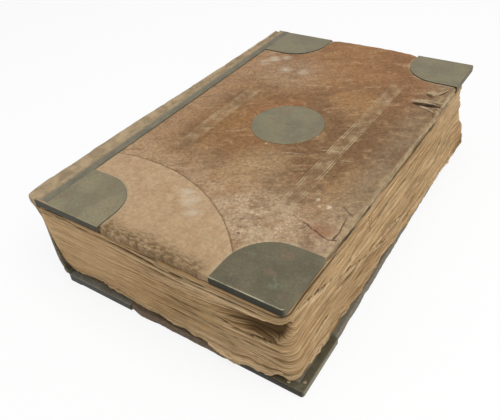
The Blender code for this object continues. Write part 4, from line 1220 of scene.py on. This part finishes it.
def spine_section(share, ends):
    """The closed section of spine sheet, roll and strip, with how worn its points are, their painted shade
    and how far they may be pushed. ends goes from 0 at the book's ends to 1."""
    bulge = (0.0078 - 0.0098 * share + 0.0012 * math.sin(2 * math.pi * share)) * ends
    foot = PAGES_LOW + 2 * CLEARANCE
    flank = ROLL_Z - ROLL_RADIUS - 0.0010 - 0.0180
    neck = ROLL_Z - ROLL_RADIUS - 0.0010
    angles = np.radians([190, 160, 130, 100, 75, 50, 30])
    out = np.array([1.0, 0.95, 0.85, 0.6, 0.4, 0.15, 0.0]) * bulge
    roll = np.stack([ROLL_X + ROLL_RADIUS * np.cos(angles) - out, ROLL_Z + ROLL_RADIUS * np.sin(angles)], -1)
    crease = SPINE_EDGE - 0.0006
    outer = [(SPINE_BACK + 0.0052, foot), (SPINE_BACK + 0.0016, foot + 0.008), (SPINE_BACK, foot + 0.016),
             (SPINE_BACK - 0.00025, (flank + foot) / 2), (SPINE_BACK, flank),
             (SPINE_BACK - 0.0021 - 0.2 * bulge, (neck + flank) / 2), (ROLL_X - 0.0032 - 0.8 * bulge, neck),
             *roll.tolist(),
             (crease, BOOK_TOP - 0.0021), (crease + 0.0018, BOOK_TOP - 0.0003),
             (SPINE_EDGE + 0.006, BOOK_TOP), (SPINE_EDGE + 0.0150, BOOK_TOP - 0.0001),
             (SPINE_EDGE + 0.0157, BOOK_TOP - 0.0005)]
    steps = [3, 3, 7, 7, 4, 4, 4, 4, 4, 4, 4, 3, 3, 3, 3, 3, 5, 2]
    outer_line = smooth_line(outer, steps)
    inner = [(SPINE_EDGE + 0.0155, BOOK_TOP - 0.0010), (SPINE_EDGE + 0.004, BOOK_TOP - 0.0010),
             (SPINE_EDGE + 0.0006, BOOK_TOP - 0.0012), (crease + 0.0001, BOOK_TOP - 0.0034),
             (SPINE_EDGE - 0.001, PAGES_HIGH), (SPINE_BACK + 0.0025, PAGES_HIGH - 0.0021),
             (SPINE_BACK + 0.0025, flank), (SPINE_BACK + 0.0025, (flank + foot) / 2),
             (SPINE_BACK + 0.0025, foot + 0.016), (SPINE_BACK + 0.0077, foot)]
    worn = np.zeros(len(outer))
    worn[6:17] = (0.35, 0.8, 1, 1, 1, 1, 1, 1, 0.9, 0.95, 0.55)
    deep = np.zeros(len(outer))
    deep[14] = 0.35
    places = np.concatenate([[0], np.cumsum(steps)])[:len(outer)]
    t = np.arange(len(outer_line))
    worn_line = np.interp(t, places, worn)
    painted_shade_line = np.interp(t, places, deep)
    none = np.zeros(len(inner))
    push = np.interp(t, places, [0, 1, 1, 1, 1, 1, 1, 1, 1, 1, 1, 1, 1, 0.6, 0.1, 0.3, 0.5, 0.3, 0])
    return (np.concatenate([outer_line, inner]), np.concatenate([worn_line, none]),
            np.concatenate([painted_shade_line, none + 0.2]), np.concatenate([push, none]))


def loft_piece(name, sections, fields, material):
    """A closed solid through closed sections of equally many points, capped at both ends."""
    sections = np.asarray(sections, float)
    rows, columns = sections.shape[:2]
    faces = grid_faces(rows, columns, closed=True)
    faces.append(list(range(columns - 1, -1, -1)))
    faces.append(list(range((rows - 1) * columns, rows * columns)))
    made = new_piece(name, sections, faces, material, fields)
    for cap in made.data.polygons[-2:]:
        cap.use_smooth = False
    return made


def shreds(name, strips, thick, material, fields):
    """One piece from thin torn strips. A strip has a line of middles, the half width at each as a vector,
    and how far it bulges. fields gives the fields of the points, from their places."""
    points, faces = [], []
    for seed, (middles, halves, bulge) in enumerate(strips):
        m = smooth_line(middles, [5] * (len(middles) - 1))
        w = smooth_line(halves, [5] * (len(halves) - 1))
        t = np.linspace(0, 1, len(m))
        w = w * (1 + 0.35 * noise(at(30 * t, seed * 3.7), (2.0, 1, 1), 71))[:, None]
        along = np.gradient(m, axis=0)
        normal = np.cross(along, w)
        normal /= np.maximum(np.linalg.norm(normal, axis=1), 1e-9)[:, None]
        half = normal * thick / 2 * np.where((t == 0) | (t == 1), 0.4, 1)[:, None]
        swell = normal * bulge
        ring = np.stack([m - w - half, m + swell - half, m + w - half, m + w + half, m + swell + half,
                         m - w + half], 1)
        start = sum(len(p) for p in points)
        rows = len(ring)
        points.append(ring.reshape(-1, 3))
        faces += grid_faces(rows, 6, closed=True, start=start)
        faces.append([start + i for i in range(5, -1, -1)])
        faces.append([start + (rows - 1) * 6 + i for i in range(6)])
    points = np.concatenate(points)
    return new_piece(name, points, faces, material, fields(points))


def end_round(ys, reach):
    """From 0 at either end of a line of places to 1 within the reach, as a quarter round."""
    near = np.clip(np.minimum(ys - ys[0], ys[-1] - ys) / reach, 0, 1)
    return np.sqrt(np.clip(1 - (1 - near) ** 2, 0, 1))


class BOOK_OT_torn(bpy.types.Operator):
    """Builds the torn leaves at the foot of the pages and the shreds of torn leather on the front cover"""

    bl_idname = "book.torn"
    bl_label = "Torn leaves and leather"

    def execute(self, context):
        t = -HALF - 0.0012
        leaves = [
            # the fan of a loose leaf, drooping over the board before the near plate
            ([(0.058, t + 0.0004, 0.0140), (0.071, t - 0.0006, 0.0128), (0.083, t - 0.0012, 0.0112),
              (0.093, t - 0.0010, 0.0092)],
             [(0, 0.0004, 0.0006), (0, 0.0010, 0.0018), (0, 0.0012, 0.0024), (0, 0.0004, 0.0006)], 0.0006),
        ]

        def leaf_fields(points):
            return {"deep": 0 * points[:, 0], "calm": 0 * points[:, 0],
                    "tone": -0.6 + 0.3 * noise(points, 0.01, 72),
                    "edge": at(points[:, 0] + points[:, 1], 0.6 * points[:, 2], 0)}
        made = shreds("torn_leaves", leaves, 0.0007, paper_material("torn_paper"), leaf_fields)
        settle(made, "text_block")

        top = BOOK_TOP
        torn = [
            # the curled strip between the two gaps
            ([(0.1045, 0.1100, top - 0.0006), (0.1130, 0.1125, top + 0.0002), (0.1230, 0.1140, top + 0.0006),
              (0.1330, 0.1150, top + 0.0003), (0.1400, 0.1148, top - 0.0006)],
             [(0.0002, 0.0006, 0.0001), (0.0004, 0.0020, 0.0003), (0.0002, 0.0023, 0.0004),
              (0.0002, 0.0017, 0.0003), (0, 0.0006, 0)], 0.0006),
            ([(0.1080, 0.1085, top - 0.0004), (0.1200, 0.1095, top + 0.0004),
              (0.1320, 0.1105, top + 0.0002)],
             [(0, 0.0004, 0.0001), (0.0002, 0.0011, 0.0004), (0, 0.0004, 0.0001)], 0.0003),
            # shreds above it
            ([(0.1140, 0.1345, top - 0.0004), (0.1190, 0.1330, top + 0.0006),
              (0.1250, 0.1290, top + 0.0009)],
             [(0.0010, 0.0018, 0.0001), (0.0012, 0.0028, 0.0006), (0.0004, 0.0012, 0.0008)], 0.0005),
            ([(0.1265, 0.1360, top - 0.0004), (0.1295, 0.1410, top + 0.0006),
              (0.1325, 0.1475, top + 0.0007)],
             [(0.0014, -0.0006, 0.0001), (0.0020, -0.0010, 0.0006), (0.0008, -0.0004, 0.0004)], 0.0004),
            # the frayed strip along the fore edge
            ([(0.1368, 0.1440, top - 0.0012), (0.1388, 0.1300, top - 0.0006),
              (0.1392, 0.1180, top - 0.0008), (0.1385, 0.1060, top - 0.0016)],
             [(0.0005, 0.0001, 0), (0.0015, 0.0002, 0.0002), (0.0013, 0, 0.0002), (0.0004, 0, 0)], 0.0004),
            # fibres below
            ([(0.1160, 0.1010, top - 0.0004), (0.1250, 0.0985, top + 0.0001),
              (0.1360, 0.0940, top - 0.0004)],
             [(0.0003, 0.0006, 0), (0.0006, 0.0014, 0.0002), (0.0002, 0.0005, 0)], 0.0002),
        ]

        def torn_fields(points):
            worn = 0.80 + 0.30 * noise(points, 0.006, 73)
            return {"deep": 0 * worn, "worn": worn, "crumple": 0 * worn, "lined": 0 * worn,
                    "beside": 0.9 + 0 * worn}
        leather = bpy.data.materials["worn_leather"]
        made = shreds("torn_leather", torn, 0.0006, leather, torn_fields)
        settle(made, "front_cover")

        t = -HALF + 0.0004
        ends = [
            # torn ends of the spine's leather at the tail
            ([(-0.1338, t + 0.0006, 0.0360), (-0.1322, t - 0.0006, 0.0320), (-0.1304, t - 0.0008, 0.0285)],
             [(0.0008, 0.0006, 0), (0.0016, 0.0008, 0.0004), (0.0008, 0.0003, 0.0004)], 0.0003),
            ([(-0.1322, t + 0.0006, 0.0160), (-0.1286, t - 0.0014, 0.0142), (-0.1256, t - 0.0012, 0.0116)],
             [(0.0004, 0.0006, 0.0022), (0.0002, 0.0004, 0.0030), (0.0002, 0.0003, 0.0014)], 0.0004),
        ]

        def end_fields(points):
            worn = 0.25 + 0.5 * noise(points, 0.004, 74)
            return {"worn": worn, "deep": 0 * worn, "rest": points}
        made = shreds("torn_spine_ends", ends, 0.0008, spine_material("torn_spine_leather"), end_fields)
        settle(made, "text_block")
        return {"FINISHED"}


class BOOK_OT_spine(bpy.types.Operator):
    """Builds the spine's leather, the worn roll of the front joint and the back joint"""

    bl_idname = "book.spine"
    bl_label = "Spine"

    def execute(self, context):
        leather = spine_material("spine_leather")
        half = HALF - 0.0004
        ys = np.concatenate([[-half], np.linspace(-half + 0.0004, -half + 0.004, 5),
                             np.linspace(-half, half, 226)[3:-3],
                             np.linspace(half - 0.004, half - 0.0004, 5), [half]])
        thin = end_round(ys, 0.0035)
        rows = [spine_section((y + HALF) / COVER_LENGTH, ends) for y, ends in zip(ys, end_round(ys, 0.018))]
        section = np.stack([row[0] for row in rows])
        worn, deep, push = (np.stack([row[i] for row in rows]) for i in (1, 2, 3))
        x, z = section[..., 0], section[..., 1]
        y = ys[:, None] + 0 * x
        # the roll's ends are rounded off
        roll = np.clip((SPINE_EDGE - 0.0006 - x) / 0.003, 0, 1) * (z > PAGES_HIGH - 0.012)
        shrink = 1 - roll * (1 - thin[:, None]) * 0.55
        x = np.where(roll > 0, ROLL_X + (x - ROLL_X) * shrink, x)
        z = np.where(roll > 0, ROLL_Z + (z - ROLL_Z) * shrink, z)
        place_now = at(x, y, z)
        across = np.roll(section, -1, 1) - np.roll(section, 1, 1)
        way = np.stack([across[..., 1], -across[..., 0]], -1)
        way /= np.maximum(np.linalg.norm(way, axis=-1), 1e-9)[..., None]
        worn = np.maximum(worn, 0.85 * smooth(0.004, 0.001, y + HALF) * smooth(0.045, 0.075, z))
        lumps = 0.0004 * rough(place_now, 0.011, 61, 4) + 0.0004 * noise(place_now, (0.03, 0.016, 0.03), 62)
        amount = lumps * push * (0.4 + 0.6 * worn)
        x, z = x + way[..., 0] * amount, z + way[..., 1] * amount
        low = np.minimum(z, BOOK_TOP)
        points = at(x, y, low)
        made = loft_piece("spine_and_roll", points, {"worn": worn, "deep": deep, "rest": points}, leather)
        settle(made, None, ["spine_leather", "front_spine_strip"])
        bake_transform(made)
        self.back_joint(leather)
        return {"FINISHED"}

    def back_joint(self, leather):
        """The sheet from the spine's foot round the back board's edge and under it."""
        ys = np.linspace(-HALF + 0.0009, HALF - 0.0009, 200)
        foot = PAGES_LOW + 2 * CLEARANCE
        sections = []
        for y in ys:
            edge = back_place(0, y, 0)[0]
            fixed = SPINE_BACK + 0.0052
            sag = 0.0004 * math.sin(y / 0.031) + 0.0003 * math.sin(y / 0.0097 + 1)
            outer = smooth_line([
                (fixed - 0.0022, foot + 0.0050), (fixed - 0.0012, foot + 0.0012),
                ((fixed + edge) / 2 - 0.0024 - sag, 0.0058), (edge - 0.0014 - 0.5 * sag, 0.0016),
                (edge + 0.0006, 0.0), (edge + 0.0080, 0.0), (edge + 0.0150, 0.0), (edge + 0.0157, 0.0004)],
                [3, 3, 4, 4, 3, 3, 2])
            inner = [(edge + 0.0155, 0.0010), (edge + 0.0080, 0.0010), (edge + 0.0006, 0.0011),
                     (edge - 0.0004, 0.0024), ((fixed + edge) / 2 - 0.0012 - sag, 0.0062),
                     (fixed - 0.0002, foot + 0.0014), (fixed - 0.0010, foot + 0.0050)]
            line = np.concatenate([outer, inner])
            sections.append(at(line[:, 0], y, line[:, 1]))
        points = np.array(sections)
        lumps = 0.00025 * rough(points, 0.012, 63)
        points[:, 4:13, 0] -= np.abs(lumps[:, 4:13])
        worn = 0.25 * np.clip(noise(points, 0.02, 64), 0, 1)
        made = loft_piece("back_joint", points, {"worn": worn, "deep": 0 * worn, "rest": points}, leather)
        settle(made, None, ["back_spine_strip"])
        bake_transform(made)


# The stage. Light from all round, and lamps: name, place, size and power.
WORLD_LIGHT = 0.34
LAMPS = (("key", (0.95, -0.15, 1.45), 1.2, 15.0),
         ("fill", (-0.75, -1.35, 1.05), 1.4, 5.5),
         ("top", (-0.1, 0.3, 1.7), 1.6, 9.0))
FLOOR_REACH = 6.0
FLOOR_DROP = 0.0004

# The camera as it was fitted to the photo: lens and sensor in millimetres, its place, and its ways to the
# right and backwards.
LENS = 40.26
SENSOR = 36.0
CAMERA_PLACE = (0.2851, -0.4475, 0.4133)
CAMERA_RIGHT = (0.83006, 0.55328, -0.07263)
CAMERA_BACK = (0.46873, -0.62167, 0.62844)


class BOOK_OT_stage(bpy.types.Operator):
    """Sets the floor, the lights and the camera"""

    bl_idname = "book.stage"
    bl_label = "Stage"

    def execute(self, context):
        scene = context.scene
        scene.view_settings.view_transform = "Standard"
        mesh = bpy.data.meshes.new("floor")
        corners = ((-1, -1), (1, -1), (1, 1), (-1, 1))
        mesh.from_pydata([(x * FLOOR_REACH, y * FLOOR_REACH, 0) for x, y in corners], [], [(0, 1, 2, 3)])
        mesh.materials.append(floor_material())
        floor = bpy.data.objects.new("floor", mesh)
        floor.location.z = -FLOOR_DROP
        scene.collection.objects.link(floor)

        world = bpy.data.worlds.new("studio")
        world.use_nodes = True
        tree = world.node_tree
        sky = tree.nodes["Background"]
        sky.inputs["Color"].default_value = (1, 1, 1, 1)
        nodes = Nodes(tree)
        strength = nodes.put("MapRange", {"Value": nodes.seen(), "To Min": WORLD_LIGHT, "To Max": 1.0})
        tree.links.new(strength, sky.inputs["Strength"])
        scene.world = world

        for name, spot, size, power in LAMPS:
            lamp = bpy.data.lights.new(name, "AREA")
            lamp.size = size
            lamp.energy = power
            holder = bpy.data.objects.new(name, lamp)
            holder.location = spot
            holder.rotation_euler = (-Vector(spot)).to_track_quat("-Z", "Y").to_euler()
            scene.collection.objects.link(holder)

        camera = bpy.data.cameras.new("camera")
        camera.lens = LENS
        camera.sensor_width = SENSOR
        holder = bpy.data.objects.new("camera", camera)
        right, back = Vector(CAMERA_RIGHT).normalized(), Vector(CAMERA_BACK).normalized()
        turn = Matrix((right, back.cross(right), back)).transposed().to_4x4()
        holder.matrix_world = Matrix.Translation(CAMERA_PLACE) @ turn
        scene.collection.objects.link(holder)
        scene.camera = holder
        return {"FINISHED"}


PIECES = (BOOK_OT_stage, BOOK_OT_pages, BOOK_OT_front_leather, BOOK_OT_back_leather, BOOK_OT_torn,
          BOOK_OT_spine, BOOK_OT_metal)


class BOOK_PT_panel(bpy.types.Panel):
    """Lists the book's pieces in the sidebar"""

    bl_idname = "BOOK_PT_panel"
    bl_label = "Antique book"
    bl_space_type = "VIEW_3D"
    bl_region_type = "UI"
    bl_category = "Book"

    def draw(self, context):
        for group in (context.scene.book_sizes, context.scene.book_colours):
            for name in group.__annotations__:
                self.layout.prop(group, name)
        for piece in PIECES:
            self.layout.operator(piece.bl_idname)


CLASSES = (BookSizes, BookColours, *PIECES, BOOK_PT_panel)


def register():
    for cls in CLASSES:
        bpy.utils.register_class(cls)
    bpy.types.Scene.book_sizes = PointerProperty(type=BookSizes)
    bpy.types.Scene.book_colours = PointerProperty(type=BookColours)


def unregister():
    del bpy.types.Scene.book_colours
    del bpy.types.Scene.book_sizes
    for cls in reversed(CLASSES):
        bpy.utils.unregister_class(cls)


def main():
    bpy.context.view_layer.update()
    register()
    bpy.ops.book.stage()
    bpy.ops.book.pages()
    bpy.ops.book.front_leather()
    bpy.ops.book.back_leather()
    bpy.ops.book.torn()
    bpy.ops.book.spine()
    bpy.ops.book.metal()


if __name__ == "__main__":
    main()
